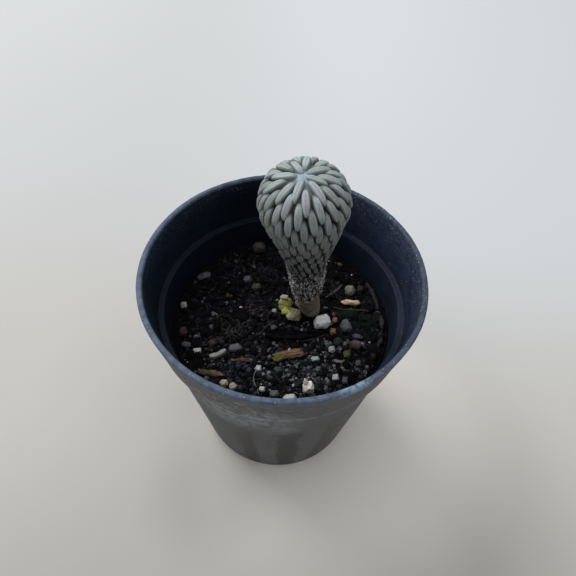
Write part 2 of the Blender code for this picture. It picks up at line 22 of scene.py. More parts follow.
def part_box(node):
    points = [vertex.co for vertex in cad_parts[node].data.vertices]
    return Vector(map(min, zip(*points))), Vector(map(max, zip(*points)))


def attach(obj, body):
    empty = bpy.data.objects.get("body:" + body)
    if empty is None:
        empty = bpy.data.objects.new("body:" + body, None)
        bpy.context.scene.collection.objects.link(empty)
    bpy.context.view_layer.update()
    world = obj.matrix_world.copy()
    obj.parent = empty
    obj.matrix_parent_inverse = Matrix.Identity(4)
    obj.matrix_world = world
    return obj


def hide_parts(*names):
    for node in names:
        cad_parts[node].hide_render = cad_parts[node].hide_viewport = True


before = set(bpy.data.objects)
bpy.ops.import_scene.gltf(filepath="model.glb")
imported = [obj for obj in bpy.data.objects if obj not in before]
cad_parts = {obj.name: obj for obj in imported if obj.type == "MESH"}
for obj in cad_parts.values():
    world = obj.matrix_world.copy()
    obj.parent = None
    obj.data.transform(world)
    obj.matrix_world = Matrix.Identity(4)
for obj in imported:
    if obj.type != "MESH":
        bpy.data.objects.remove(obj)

LOG = logging.getLogger("potted_cactus")
MM = 0.001
BODY = "root"
LUMP_CUTS = 9
LUMP_REACH = (0.62, 0.95)
Triple = tuple[float, float, float]
Color = Triple
Pairs = tuple[tuple[float, float], ...]
Face = tuple[int, ...]
Shape = tuple[np.ndarray, Iterable[Sequence[int]]]
Box = tuple[Vector, Vector]


# Node trees


class Wire:
    """One output of a node, which can stand in a sum."""

    def __init__(self, graph: "Graph", socket: bpy.types.NodeSocket) -> None:
        """Keeps the output and the graph that it is in."""
        self.graph = graph
        self.socket = socket

    def __add__(self, other: "Wire | float") -> "Wire":
        """Returns the sum of the two."""
        return self.graph.math("ADD", self, other)

    def __sub__(self, other: "Wire | float") -> "Wire":
        """Returns this less the other."""
        return self.graph.math("SUBTRACT", self, other)

    def __rsub__(self, other: float) -> "Wire":
        """Returns a number less this."""
        return self.graph.math("SUBTRACT", other, self)

    def __mul__(self, other: "Wire | float") -> "Wire":
        """Returns the product of the two."""
        return self.graph.math("MULTIPLY", self, other)

    def __abs__(self) -> "Wire":
        """Returns this without its sign."""
        return self.graph.math("ABSOLUTE", self)

    def ramp(self, low: float, high: float, start: float = 0.0, end: float = 1.0) -> "Wire":
        """Maps this smoothly from one range to another.

        Args:
            low: where the result starts to change.
            high: where it stops.
            start: the result at low.
            end: the result at high.

        Returns:
            The mapped value.
        """
        made = self.graph.node("ShaderNodeMapRange", interpolation_type="SMOOTHSTEP")
        for socket, value in zip(made.inputs, (self, low, high, start, end)):
            self.graph.put(socket, value)
        return self.graph.out(made)

    def ramp_mm(self, low: float, high: float, start: float = 0.0, end: float = 1.0) -> "Wire":
        """Maps a length as ramp does, with low and high in millimetres."""
        return self.ramp(low * MM, high * MM, start, end)


class Graph:
    """Adds nodes to one tree and joins them."""

    def __init__(self, tree: bpy.types.NodeTree) -> None:
        """Keeps the material's or the group's tree."""
        self.tree = tree

    def node(self, kind: str, **settings: object) -> bpy.types.Node:
        """Adds a node and sets its properties.

        Args:
            kind: the node's type name.
            settings: the node's properties by name.

        Returns:
            The new node.
        """
        made = self.tree.nodes.new(kind)
        for name, value in settings.items():
            setattr(made, name, value)
        return made

    def out(self, node: bpy.types.Node, which: int | str = 0) -> Wire:
        """Returns one output of a node."""
        return Wire(self, node.outputs[which])

    def put(self, socket: bpy.types.NodeSocket, value: object) -> None:
        """Joins an input to a wire or sets it.

        Args:
            socket: the input.
            value: a wire, a number, a vector or a colour.
        """
        if isinstance(value, Wire):
            self.tree.links.new(value.socket, socket)
        elif isinstance(value, tuple) and socket.type == "RGBA":
            socket.default_value = (*value, 1.0)
        else:
            socket.default_value = value

    def fill(self, node: bpy.types.Node, values: dict[str, object]) -> None:
        """Puts a value to each named input of a node."""
        for name, value in values.items():
            self.put(node.inputs[name], value)

    def math(self, operation: str, *values: Wire | float) -> Wire:
        """Adds a Math node.

        Args:
            operation: its operation.
            values: its inputs.

        Returns:
            Its output.
        """
        made = self.node("ShaderNodeMath", operation=operation)
        for socket, value in zip(made.inputs, values):
            self.put(socket, value)
        return self.out(made)

    def larger(self, first: Wire | float, second: Wire | float) -> Wire:
        """Returns the larger of two values."""
        return self.math("MAXIMUM", first, second)

    def mix(self, share: Wire, first: Wire | Color, second: Wire | Color) -> Wire:
        """Mixes two colours.

        Args:
            share: how much of the second one shows.
            first: the first colour.
            second: the second colour.

        Returns:
            The mixed colour.
        """
        made = self.node("ShaderNodeMix", data_type="RGBA")
        for number, value in ((0, share), (6, first), (7, second)):
            self.put(made.inputs[number], value)
        return self.out(made, 2)

    def noise(self, place: Wire, scale: Wire | float, detail: float = 3.0, rough: float = 0.55) -> Wire:
        """Adds a Noise Texture.

        Args:
            place: where it is read.
            scale: waves in a metre.
            detail: how many finer layers it has.
            rough: how strong the finer layers are.

        Returns:
            Its value.
        """
        made = self.node("ShaderNodeTexNoise")
        self.fill(made, {"Vector": place, "Scale": scale, "Detail": detail, "Roughness": rough})
        return self.out(made, "Fac")

    def mapped(self, place: Wire, scale: Triple = (1.0, 1.0, 1.0), turn: float = 0.0) -> Wire:
        """Scales a place along each axis and turns it about the vertical.

        Args:
            place: the place.
            scale: the scale along each axis.
            turn: the turn in radians.

        Returns:
            The new place.
        """
        made = self.node("ShaderNodeMapping")
        self.fill(made, {"Vector": place, "Scale": scale, "Rotation": (0.0, 0.0, turn)})
        return self.out(made)

    def place(self) -> Wire:
        """Returns the place on the piece, in metres."""
        return self.out(self.node("ShaderNodeTexCoord"), "Object")

    def split(self, place: Wire) -> tuple[Wire, ...]:
        """Takes a place apart.

        Args:
            place: the place.

        Returns:
            Its three numbers.
        """
        made = self.node("ShaderNodeSeparateXYZ")
        self.put(made.inputs[0], place)
        return tuple(self.out(made, number) for number in range(3))

    def distance(self, place: Wire, centre: Triple) -> Wire:
        """Measures how far a place is from a centre.

        Args:
            place: the place, in metres.
            centre: the centre, in millimetres.

        Returns:
            The distance in metres.
        """
        made = self.node("ShaderNodeVectorMath", operation="DISTANCE")
        self.put(made.inputs[0], place)
        self.put(made.inputs[1], tuple(number * MM for number in centre))
        return self.out(made, "Value")

    def value_of(self, attribute: str) -> Wire:
        """Returns a number stored on the piece's points."""
        return self.out(self.node("ShaderNodeAttribute", attribute_name=attribute), "Fac")

    def group(self, tree: bpy.types.NodeTree, **values: object) -> dict[str, Wire]:
        """Adds a group and fills its inputs.

        Args:
            tree: the group's tree.
            values: its inputs by name.

        Returns:
            Its outputs by name.
        """
        made = self.node("ShaderNodeGroup", node_tree=tree)
        self.fill(made, values)
        return {socket.name: Wire(self, socket) for socket in made.outputs}


class Group(Graph):
    """A new shader group, with what it is given and where its results go."""

    KINDS = {type(None): "NodeSocketVector", tuple: "NodeSocketColor", float: "NodeSocketFloat"}

    def __init__(self, name: str, inputs: dict[str, object], outputs: dict[str, str]) -> None:
        """Starts the group.

        Args:
            name: its name.
            inputs: the default of each input, a number, a colour or None for a vector.
            outputs: the socket type of each output.
        """
        super().__init__(bpy.data.node_groups.new(name, "ShaderNodeTree"))
        sockets = self.tree.interface
        for label, default in inputs.items():
            made = sockets.new_socket(label, in_out="INPUT", socket_type=self.KINDS[type(default)])
            if default is not None:
                made.default_value = (*default, 1.0) if isinstance(default, tuple) else default
        for label, kind in outputs.items():
            sockets.new_socket(label, in_out="OUTPUT", socket_type=kind)
        source = self.node("NodeGroupInput")
        self.given = {label: self.out(source, label) for label in inputs}
        self.sink = self.node("NodeGroupOutput")


class Effects:
    """The shader groups that several materials use."""

    def __init__(self) -> None:
        """Builds each group once."""
        self.grain = self.build_grain()
        self.specks = self.build_specks()
        self.dust = self.build_dust()

    @staticmethod
    def build_grain() -> bpy.types.NodeTree:
        """Builds two sizes of noise as one tone and one height.

        Returns:
            The group, with inputs Vector and Scale and outputs Tone and Height.
        """
        outputs = {"Tone": "NodeSocketFloat", "Height": "NodeSocketFloat"}
        group = Group("Mineral grain", {"Vector": None, "Scale": 900.0}, outputs)
        place, scale = group.given["Vector"], group.given["Scale"]
        broad = group.noise(place, scale, 4.0)
        fine = group.noise(place, scale * 4.3, 2.0)
        group.fill(group.sink, {"Tone": broad.ramp(0.32, 0.68), "Height": broad + fine * 0.4})
        return group.tree

    @staticmethod
    def build_specks() -> bpy.types.NodeTree:
        """Builds a mask of small separate spots.

        Returns:
            The group, with inputs Vector, Scale, Share and Size and the output Mask.
        """
        inputs = {"Vector": None, "Scale": 900.0, "Share": 0.2, "Size": 0.3}
        group = Group("Loose specks", inputs, {"Mask": "NodeSocketFloat"})
        given = group.given
        cells = group.node("ShaderNodeTexVoronoi")
        group.fill(cells, {"Vector": given["Vector"], "Scale": given["Scale"]})
        draw = group.node("ShaderNodeSeparateColor")
        group.put(draw.inputs[0], group.out(cells, "Color"))
        chosen = group.math("LESS_THAN", group.out(draw, 0), given["Share"])
        size = given["Size"] * group.out(draw, 1)
        near = group.math("LESS_THAN", group.out(cells, "Distance"), size)
        group.fill(group.sink, {"Mask": chosen * near})
        return group.tree

    @staticmethod
    def build_dust() -> bpy.types.NodeTree:
        """Builds a patchy film of dust over a colour.

        Returns:
            The group, with inputs Color, Dust, Amount, Vector and Scale and the output Color.
        """
        inputs = {
            "Color": (0.1, 0.1, 0.1), "Dust": (0.4, 0.4, 0.38), "Amount": 0.5, "Vector": None, "Scale": 300.0,
        }
        group = Group("Dust film", inputs, {"Color": "NodeSocketColor"})
        given = group.given
        cloud = group.noise(given["Vector"], given["Scale"], 6.0, 0.65).ramp(0.35, 0.75)
        mask = cloud * given["Amount"]
        group.fill(group.sink, {"Color": group.mix(mask, given["Color"], given["Dust"])})
        return group.tree


# Finishes


class Rock(Enum):
    """How deep a stone's surface is broken, as a share of its length."""

    SMOOTH = 0.008
    WORN = 0.018
    BROKEN = 0.036


@dataclass(frozen=True)
class StoneFinish:
    """The look of one kind of stone."""

    slot: str
    color: Color
    vein: Color
    surface: Rock
    dirt: float = 0.5
    waist: float = 0.0
    vein_share: float = 0.45
    gloss: float = 0.25
    glow: float = 0.0
    grain_per_metre: float = 1100.0
    grit: Color = (0.04, 0.035, 0.03)


@dataclass(frozen=True)
class BarkFinish:
    """The look of one kind of bark or wood."""

    slot: str
    color: Color
    streak: Color
    left_end: Color | None = None
    left_share: float = 0.3
    torn: float = 0.22
    blunt: float = 0.0
    gloss: float = 0.2
    fibres_per_metre: float = 2400.0
    dust_amount: float = 0.35


@dataclass(frozen=True)
class ClearRun:
    """A place on the pot's side where running water has washed the film off."""

    angle_degrees: float
    half_width_degrees: float
    top: float


@dataclass(frozen=True)
class PlasticFinish:
    """The look of the pot: plastic under dust, scuffs and a dried film of water, with painted shade inside,
    painted light on the inside's lit side and painted highlights on the lip.
    """

    slot: str = "pot_plastic"
    # inside: the pot's plastic darkened far below the outside's, painted shade inside the pot
    inside: Color = (0.0004, 0.0028, 0.0078)
    # inside_film_and_sheen: a streaky haze that also paints the light and sheen on the inside's lit right
    # side
    inside_film_and_sheen: Color = (0.024, 0.037, 0.072)
    inside_scuff: Color = (0.16, 0.19, 0.24)
    clean: Color = (0.012, 0.0125, 0.0135)
    film: Color = (0.128, 0.130, 0.131)
    olive: Color = (0.085, 0.086, 0.076)
    # lip: the lip's slate blue, lightened to paint its highlight
    lip: Color = (0.125, 0.162, 0.235)
    # scuff: pale scuffs and dust specks, also the colour of the painted glints on the lip and of the pale
    # line under the collar
    scuff_and_glint: Color = (0.42, 0.44, 0.45)
    runs: tuple[ClearRun, ...] = (
        ClearRun(-107.0, 5.2, 39.0), ClearRun(-81.5, 6.4, 40.0), ClearRun(-56.5, 7.0, 41.0),
    )
    run_fade: float = 0.012
    far_runs: float = 14.0
    far_run_degrees: float = 42.0
    film_edge: float = 40.0
    smear: Color = (0.275, 0.303, 0.325)
    smear_degrees: float = -106.0
    smear_height: float = 50.0
    step_height: float = 55.6
    # patch: a painted highlight on the lip at the front right
    patch: Color = (0.30, 0.42, 0.56)
    highlight_degrees: float = -61.0


@dataclass(frozen=True)
class SkinFinish:
    """The look of the plant's skin from its growing point to its foot, with painted shade in its gaps and on
    its lower head.
    """

    slot: str = "cactus_skin"
    bloom: Color = (0.530, 0.605, 0.618)
    green: Color = (0.250, 0.312, 0.270)
    dusky: Color = (0.425, 0.430, 0.478)
    young: Color = (0.350, 0.420, 0.475)
    # shoulder, middle and old darken the skin downwards: real ageing together with painted shade below the
    # lit top
    shoulder: Color = (0.125, 0.140, 0.138)
    middle: Color = (0.116, 0.114, 0.110)
    old: Color = (0.140, 0.132, 0.120)
    # gap: painted shade in the gaps between the tubercles and the scales, also the dark of the fine grain
    gap: Color = (0.006, 0.007, 0.006)
    cork: Color = (0.285, 0.222, 0.162)
    wool: Color = (0.62, 0.62, 0.58)


@dataclass(frozen=True)
class MossFinish:
    """The look of the moss tuft, with painted shade between its leaves and the pale grain that is stuck in
    its lower lobe.
    """

    slot: str = "moss"
    bright: Color = (0.49, 0.50, 0.135)
    # The darker colour of each lobe paints the shade between its leaves.
    bright_gap_shade: Color = (0.16, 0.17, 0.045)
    faded: Color = (0.23, 0.21, 0.10)
    faded_gap_shade: Color = (0.12, 0.10, 0.06)
    tip: Color = (0.46, 0.44, 0.25)
    grain: Color = (0.46, 0.43, 0.36)
    grain_place: Triple = (2.6, -0.4, 50.7)


@dataclass(frozen=True)
class FloorFinish:
    """The look of the plain pale floor, with painted light: darker towards the front, lighter towards the
    back right, a painted pool of light at the pot's right front and a painted shadow at its left front.
    """

    # front, middle, back and back_right paint the light's falloff across the floor
    front: Color = (0.450, 0.428, 0.390)
    middle: Color = (0.560, 0.537, 0.496)
    haze: Color = (0.700, 0.670, 0.620)
    back: Color = (0.575, 0.585, 0.590)
    back_right: Color = (0.720, 0.735, 0.745)
    # lit: a painted pool of light at the pot's right front
    lit: Color = (0.880, 0.830, 0.762)
    lit_place: Triple = (24.0, -16.0, 0.0)
    # shade: a painted shadow at the pot's left front
    shade: Color = (0.370, 0.352, 0.320)
    shade_place: Triple = (-20.0, -34.0, 0.0)


def shaded(color: Color, share: float) -> Color:
    """Returns a colour with a share of its light."""
    return tuple(part * share for part in color)


class Look(Graph):
    """A material's tree with its shader."""

    def __init__(self, name: str, roughness: float, gloss: float = 0.5) -> None:
        """Starts the material.

        Args:
            name: its name.
            roughness: the shader's roughness.
            gloss: the shader's specular level.
        """
        self.material = bpy.data.materials.new(name)
        self.material.use_nodes = True
        super().__init__(self.material.node_tree)
        self.shader = self.tree.nodes["Principled BSDF"]
        self.fill(self.shader, {"Roughness": roughness, "Specular IOR Level": gloss})

    def layered(self, tone: Wire | Color, *layers: tuple[Wire, Wire | Color]) -> Wire:
        """Lays colours over one another.

        Args:
            tone: the lowest colour.
            layers: the mask and the colour of each layer above it.

        Returns:
            What shows of them all.
        """
        for mask, color in layers:
            tone = self.mix(mask, tone, color)
        return tone

    def finished(
        self, tone: Wire, relief: Wire, depth: float, strength: float = 0.6, **more: object
    ) -> bpy.types.Material:
        """Joins a colour and a relief to the shader.

        Args:
            tone: the colour.
            relief: the surface's height, from 0 to about 1.
            depth: how deep a height of 1 is.
            strength: how much of the relief is used.
            more: the shader's other inputs, with _ for a space in a name.

        Returns:
            The material.
        """
        bump = self.node("ShaderNodeBump")
        self.fill(bump, {"Strength": strength, "Distance": depth * MM, "Height": relief})
        self.fill(self.shader, {"Base Color": tone, "Normal": self.out(bump)})
        self.fill(self.shader, {name.replace("_", " "): value for name, value in more.items()})
        return self.material


class PotLook(Look):
    """The pot's material: a dried film with clean runs, dust, scuffs and specks, with painted shade, painted
    light and painted highlights.
    """

    def __init__(self, finish: PlasticFinish, effects: Effects) -> None:
        """Starts the material with its places and noises.

        Args:
            finish: the pot's look.
            effects: the shared groups.
        """
        super().__init__("pot_plastic", 0.42, 0.16)
        self.finish = finish
        self.here = self.place()
        self.x, self.y, self.z = self.split(self.here)
        self.angle = self.math("ARCTAN2", self.y, self.x)
        self.outer = self.value_of("outer")
        self.inner = 1.0 - self.outer
        self.warp = self.noise(self.mapped(self.here, (1.0, 1.0, 0.35)), 95.0)
        self.torn = self.noise(self.here, 520.0, 4.0, 0.6)
        self.streaks = self.noise(self.mapped(self.here, (1.0, 1.0, 2.4)), 120.0, 6.0, 0.7)
        self.lines = self.larger(self.scratch(0.35, 210.0, 0.020), self.scratch(-0.55, 260.0, 0.014))
        # side: the right of the inside, a little of its left and more near the top, where light falls in the
        # pot; the inside's painted light and sheen, its scratches and its specks show mostly there
        sides = self.larger(self.x.ramp_mm(4.0, 30.0), self.x.ramp_mm(-12.0, -34.0, 0.0, 0.35))
        self.side = sides * self.z.ramp_mm(50.0, 66.0, 0.28, 1.0)
        self.specks = self.group(effects.specks, Vector=self.here, Scale=1300.0, Share=0.16, Size=0.30)
        self.flecks = self.group(effects.specks, Vector=self.here, Scale=2600.0, Share=0.35, Size=0.40)

    def scratch(self, slope: float, scale: float, width: float) -> Wire:
        """Makes thin wandering scratch lines.

        Args:
            slope: how much they rise toward the right.
            scale: waves in a metre.
            width: how wide they are, from 0 to 1.

        Returns:
            The lines' mask.
        """
        sheared = self.node("ShaderNodeCombineXYZ")
        for socket, value in zip(sheared.inputs, (self.x, self.y, self.z + self.x * slope)):
            self.put(socket, value)
        waves = self.noise(self.mapped(self.out(sheared), (1.0, 1.0, 3.5)), scale, 3.0, 0.6)
        return abs(waves - 0.5).ramp(width, width * 0.3)

    def off(self, angle: Wire, degrees: float) -> Wire:
        """Returns how far an angle is from another one, in radians."""
        return abs(angle - math.radians(degrees))

    def film(self) -> Wire:
        """Makes the dried film on the outside, with the clean runs washed into it.

        Returns:
            The film's mask.
        """
        finish = self.finish
        bent, frayed = self.warp - 0.5, self.torn - 0.5
        frilled = self.noise(self.here, 210.0) - 0.5
        turned = self.angle + (bent * 0.14 + frayed * 0.16 + frilled * 0.22)
        height = self.z + (bent + frayed) * 0.014
        washed: Wire | float = 0.0
        for run in finish.runs:
            edge = math.radians(run.half_width_degrees)
            across = self.off(turned, run.angle_degrees).ramp(edge + finish.run_fade, edge - finish.run_fade)
            washed = self.larger(washed, across * height.ramp_mm(run.top + 0.5, run.top - 0.5))
        start = math.radians(finish.far_run_degrees)
        far = self.off(turned, finish.runs[1].angle_degrees).ramp(start, start + math.radians(5.0))
        below = height.ramp_mm(finish.film_edge + 0.8, finish.film_edge - 0.8)
        wave = self.math("COSINE", turned * finish.far_runs) + bent * 1.6
        washed = self.larger(washed, far * below * wave.ramp(0.08, -0.08))
        cloud = self.noise(self.here, 240.0, 5.0, 0.6).ramp(0.25, 0.75, 0.66, 1.0)
        return (1.0 - washed) * cloud

    def outside(self, film: Wire) -> Wire:
        """Makes the colour of the outside, up to the lip.

        Args:
            film: the dried film's mask.

        Returns:
            The colour.
        """
        finish = self.finish
        olive = self.z.ramp_mm(56.0, 58.0) * self.warp.ramp(0.42, 0.62)
        beyond = abs(self.z - finish.smear_height * MM)
        smear = self.off(self.angle, finish.smear_degrees).ramp(0.62, 0.15) * beyond.ramp_mm(13.5, 6.0)
        smear = smear * self.warp.ramp(0.30, 0.62) * self.torn.ramp(0.36, 0.60, 0.3, 1.0)
        turn = math.radians(finish.smear_degrees)
        facing = self.x * math.cos(turn) + self.y * math.sin(turn)
        worn = self.z.ramp_mm(40.0, 50.0) * self.x.ramp_mm(14.0, -10.0, 0.10, 1.0)
        worn = worn * self.torn.ramp(0.40, 0.60) * facing.ramp_mm(-5.0, 20.0, 0.30, 1.0)
        # A pale line along the edge under the collar: painted highlight and scuffs together.
        step = abs(self.z - finish.step_height * MM).ramp_mm(0.8, 0.2) * self.torn.ramp(0.38, 0.55)
        return self.layered(
            finish.clean, (film, finish.film), (olive * 0.6, finish.olive), (smear * 0.72, finish.smear),
            (worn * self.lines * 0.75, finish.scuff_and_glint), (step * 0.55, finish.scuff_and_glint),
        )

    def inside(self) -> Wire:
        """Returns the colour of the inside above the ledge: painted shade, with streaky haze and painted
        light and sheen on its lit side.
        """
        film_and_sheen = self.side * self.streaks.ramp(0.30, 0.62, 0.45, 1.0)
        return self.mix(film_and_sheen, self.finish.inside, self.finish.inside_film_and_sheen)

    def lipped(self, tone: Wire) -> Wire:
        """Lays the bluish lip, lightened as a painted highlight, with painted shade towards its back right
        and a painted highlight patch, over a colour.

        Args:
            tone: the colour.

        Returns:
            The colour with the lip.
        """
        finish = self.finish
        height = self.z + (self.torn - 0.5) * 0.0030
        # The lip's colour shows on the inside more towards the lit right: painted light.
        lip_lit_share = self.outer + self.inner * self.x.ramp_mm(-10.0, 22.0, 0.10, 0.42)
        lip = height.ramp_mm(65.8, 68.8) * lip_lit_share
        rim = self.larger(lip * 0.8, self.z.ramp_mm(69.0, 69.6, 0.0, 0.9))
        # The lip darkens towards the back right: painted shade.
        lip_back_shade = (self.x + self.y).ramp_mm(-20.0, 30.0, 0.0, 0.38)
        mottled = self.mix(self.torn.ramp(0.35, 0.65), finish.lip, shaded(finish.lip, 0.62))
        # A painted highlight patch on the lip at the front right.
        patch = self.off(self.angle, finish.highlight_degrees).ramp(0.14, 0.05) * self.z.ramp_mm(66.8, 68.8)
        patch = patch * self.torn.ramp(0.40, 0.54) * 0.72
        return self.layered(tone, (rim, self.mix(lip_back_shade, mottled, (0.0, 0.0, 0.0))), (patch, finish.patch))

    def spots(self) -> Wire:
        """Makes the pale specks of dust, fainter on the inside's shaded back as painted shade, and the
        painted glints, which lie closest on the lip.

        Returns:
            Their mask.
        """
        # Pale flecks on the lip, more towards the lit right: painted glints.
        lip_glints = self.z.ramp_mm(65.0, 69.0) * self.streaks.ramp(0.44, 0.58)
        lip_glints = lip_glints * self.x.ramp_mm(-30.0, 20.0, 0.45, 1.0)
        # Specks show less on the inside's shaded back: painted shade.
        outside_or_lit_side = self.larger(self.larger(self.outer, self.side), 0.08)
        spotted = self.specks["Mask"] * self.z.ramp_mm(50.0, 69.0, 0.08, 0.50) * outside_or_lit_side
        return self.larger(spotted, self.flecks["Mask"] * lip_glints)

    def build(self) -> bpy.types.Material:
        """Joins everything to the shader.

        Returns:
            The material.
        """
        film, spotted = self.film(), self.spots()
        scraped = self.side * self.lines * self.z.ramp_mm(60.0, 69.0, 0.06, 0.5) * self.inner
        tone = self.mix(self.outer, self.inside(), self.outside(film))
        tone = self.mix(scraped, tone, self.finish.inside_scuff)
        tone = self.mix(spotted, self.lipped(tone), self.finish.scuff_and_glint)
        rough = (film * 0.30 + 0.38 - 0.60) * self.outer + 0.60 + spotted * 0.2
        relief = (self.lines * -0.3 + self.torn * 0.25) * self.outer
        return self.finished(tone, relief, 0.05, 0.45, Roughness=rough)


class SkinLook(Look):
    """The plant's material, made from what is stored on its points."""

    def __init__(self, finish: SkinFinish, effects: Effects) -> None:
        """Starts the material with its stored numbers and noises.

        Args:
            finish: the plant's look.
            effects: the shared groups.
        """
        super().__init__("cactus_skin", 0.66, 0.3)
        self.finish = finish
        self.crest, self.age = self.value_of("crest"), self.value_of("age")
        self.tone, self.young = self.value_of("tone"), self.value_of("young")
        self.across, self.along = abs(self.value_of("across")), self.value_of("along")
        place = self.place()
        self.blotch = self.noise(place, 340.0, 4.0)
        self.grain = self.group(effects.grain, Vector=place, Scale=2600.0)
        self.specks = self.group(effects.specks, Vector=place, Scale=2100.0, Share=0.3, Size=0.36)

    def waxed(self) -> Wire:
        """Makes the colour of the skin under its bloom, from young to old, darker downwards: real ageing
        together with painted shade below the lit top.

        Returns:
            The colour.
        """
        finish = self.finish
        greener = (self.tone * 0.5 + self.blotch).ramp(0.25, 0.95)
        # The skin darkens downwards: real ageing together with painted shade below the lit top.
        age_and_shade = self.age + self.blotch * 0.10
        return self.layered(
            finish.bloom, (greener * 0.62, finish.green), (self.crest.ramp(0.97, 0.70), finish.green),
            (self.tone.ramp(-0.1, -0.9, 0.0, 0.65), finish.dusky), (self.young, finish.young),
            (age_and_shade.ramp(0.09, 0.30, 0.0, 0.92), finish.shoulder), (age_and_shade.ramp(0.30, 0.48), finish.middle),
            (age_and_shade.ramp(0.64, 0.76), finish.old),
        )

    def combed(self) -> tuple[Wire, Wire, Wire]:
        """Makes the comb on each tubercle's crest.

        Returns:
            The masks of its teeth, its middle seam and the pale rim round it.
        """
        fresh = self.age.ramp(0.75, 0.45)
        comb = self.across.ramp(0.66, 0.50) * self.crest.ramp(0.80, 0.92) * fresh
        teeth = comb * self.math("SINE", self.along * 27.0 + self.across * 3.0).ramp(-0.6, 0.6)
        seam = comb * self.across.ramp(0.16, 0.04)
        rim = self.across.ramp(0.45, 0.58) * self.across.ramp(0.80, 0.68) * fresh
        return teeth, seam, rim * self.crest.ramp(0.7, 0.9)

    def sunk(self) -> Wire:
        """Makes the painted shade in the gaps between the tubercles and between the scales.

        Returns:
            Their mask.
        """
        gaps = self.crest.ramp(0.84, 0.40) * self.age.ramp(0.03, 0.20, 0.30, 0.95)
        scales = self.crest.ramp(0.98, 0.78) * self.age.ramp(0.32, 0.46) * self.age.ramp(0.83, 0.74)
        return self.larger(gaps, scales)

    def build(self) -> bpy.types.Material:
        """Joins everything to the shader.

        Returns:
            The material.
        """
        finish = self.finish
        teeth, seam, rim = self.combed()
        crust = self.specks["Mask"] * self.age.ramp(0.60, 0.78, 0.0, 0.7)
        corky = (self.age + self.blotch * 0.04).ramp(0.794, 0.824)
        stain = self.mix(self.blotch.ramp(0.45, 0.68), finish.cork, shaded(finish.cork, 0.45))
        # The gaps get painted shade, and the fine grain borrows that colour for its dark.
        skin = self.layered(
            self.waxed(), (teeth * 0.16, finish.wool), (rim * 0.30, finish.wool), (seam * 0.5, finish.green),
            (crust * 0.6, finish.wool), (self.sunk(), finish.gap), (corky, stain),
            (self.grain["Tone"] * 0.18, finish.gap),
        )
        relief = teeth * 0.6 + rim - seam * 1.2 + self.grain["Height"] * 0.5
        rough = self.age.ramp(0.3, 0.8, 0.68, 0.95)
        return self.finished(skin, relief, 0.07, 0.7, Roughness=rough, Sheen_Weight=0.08)


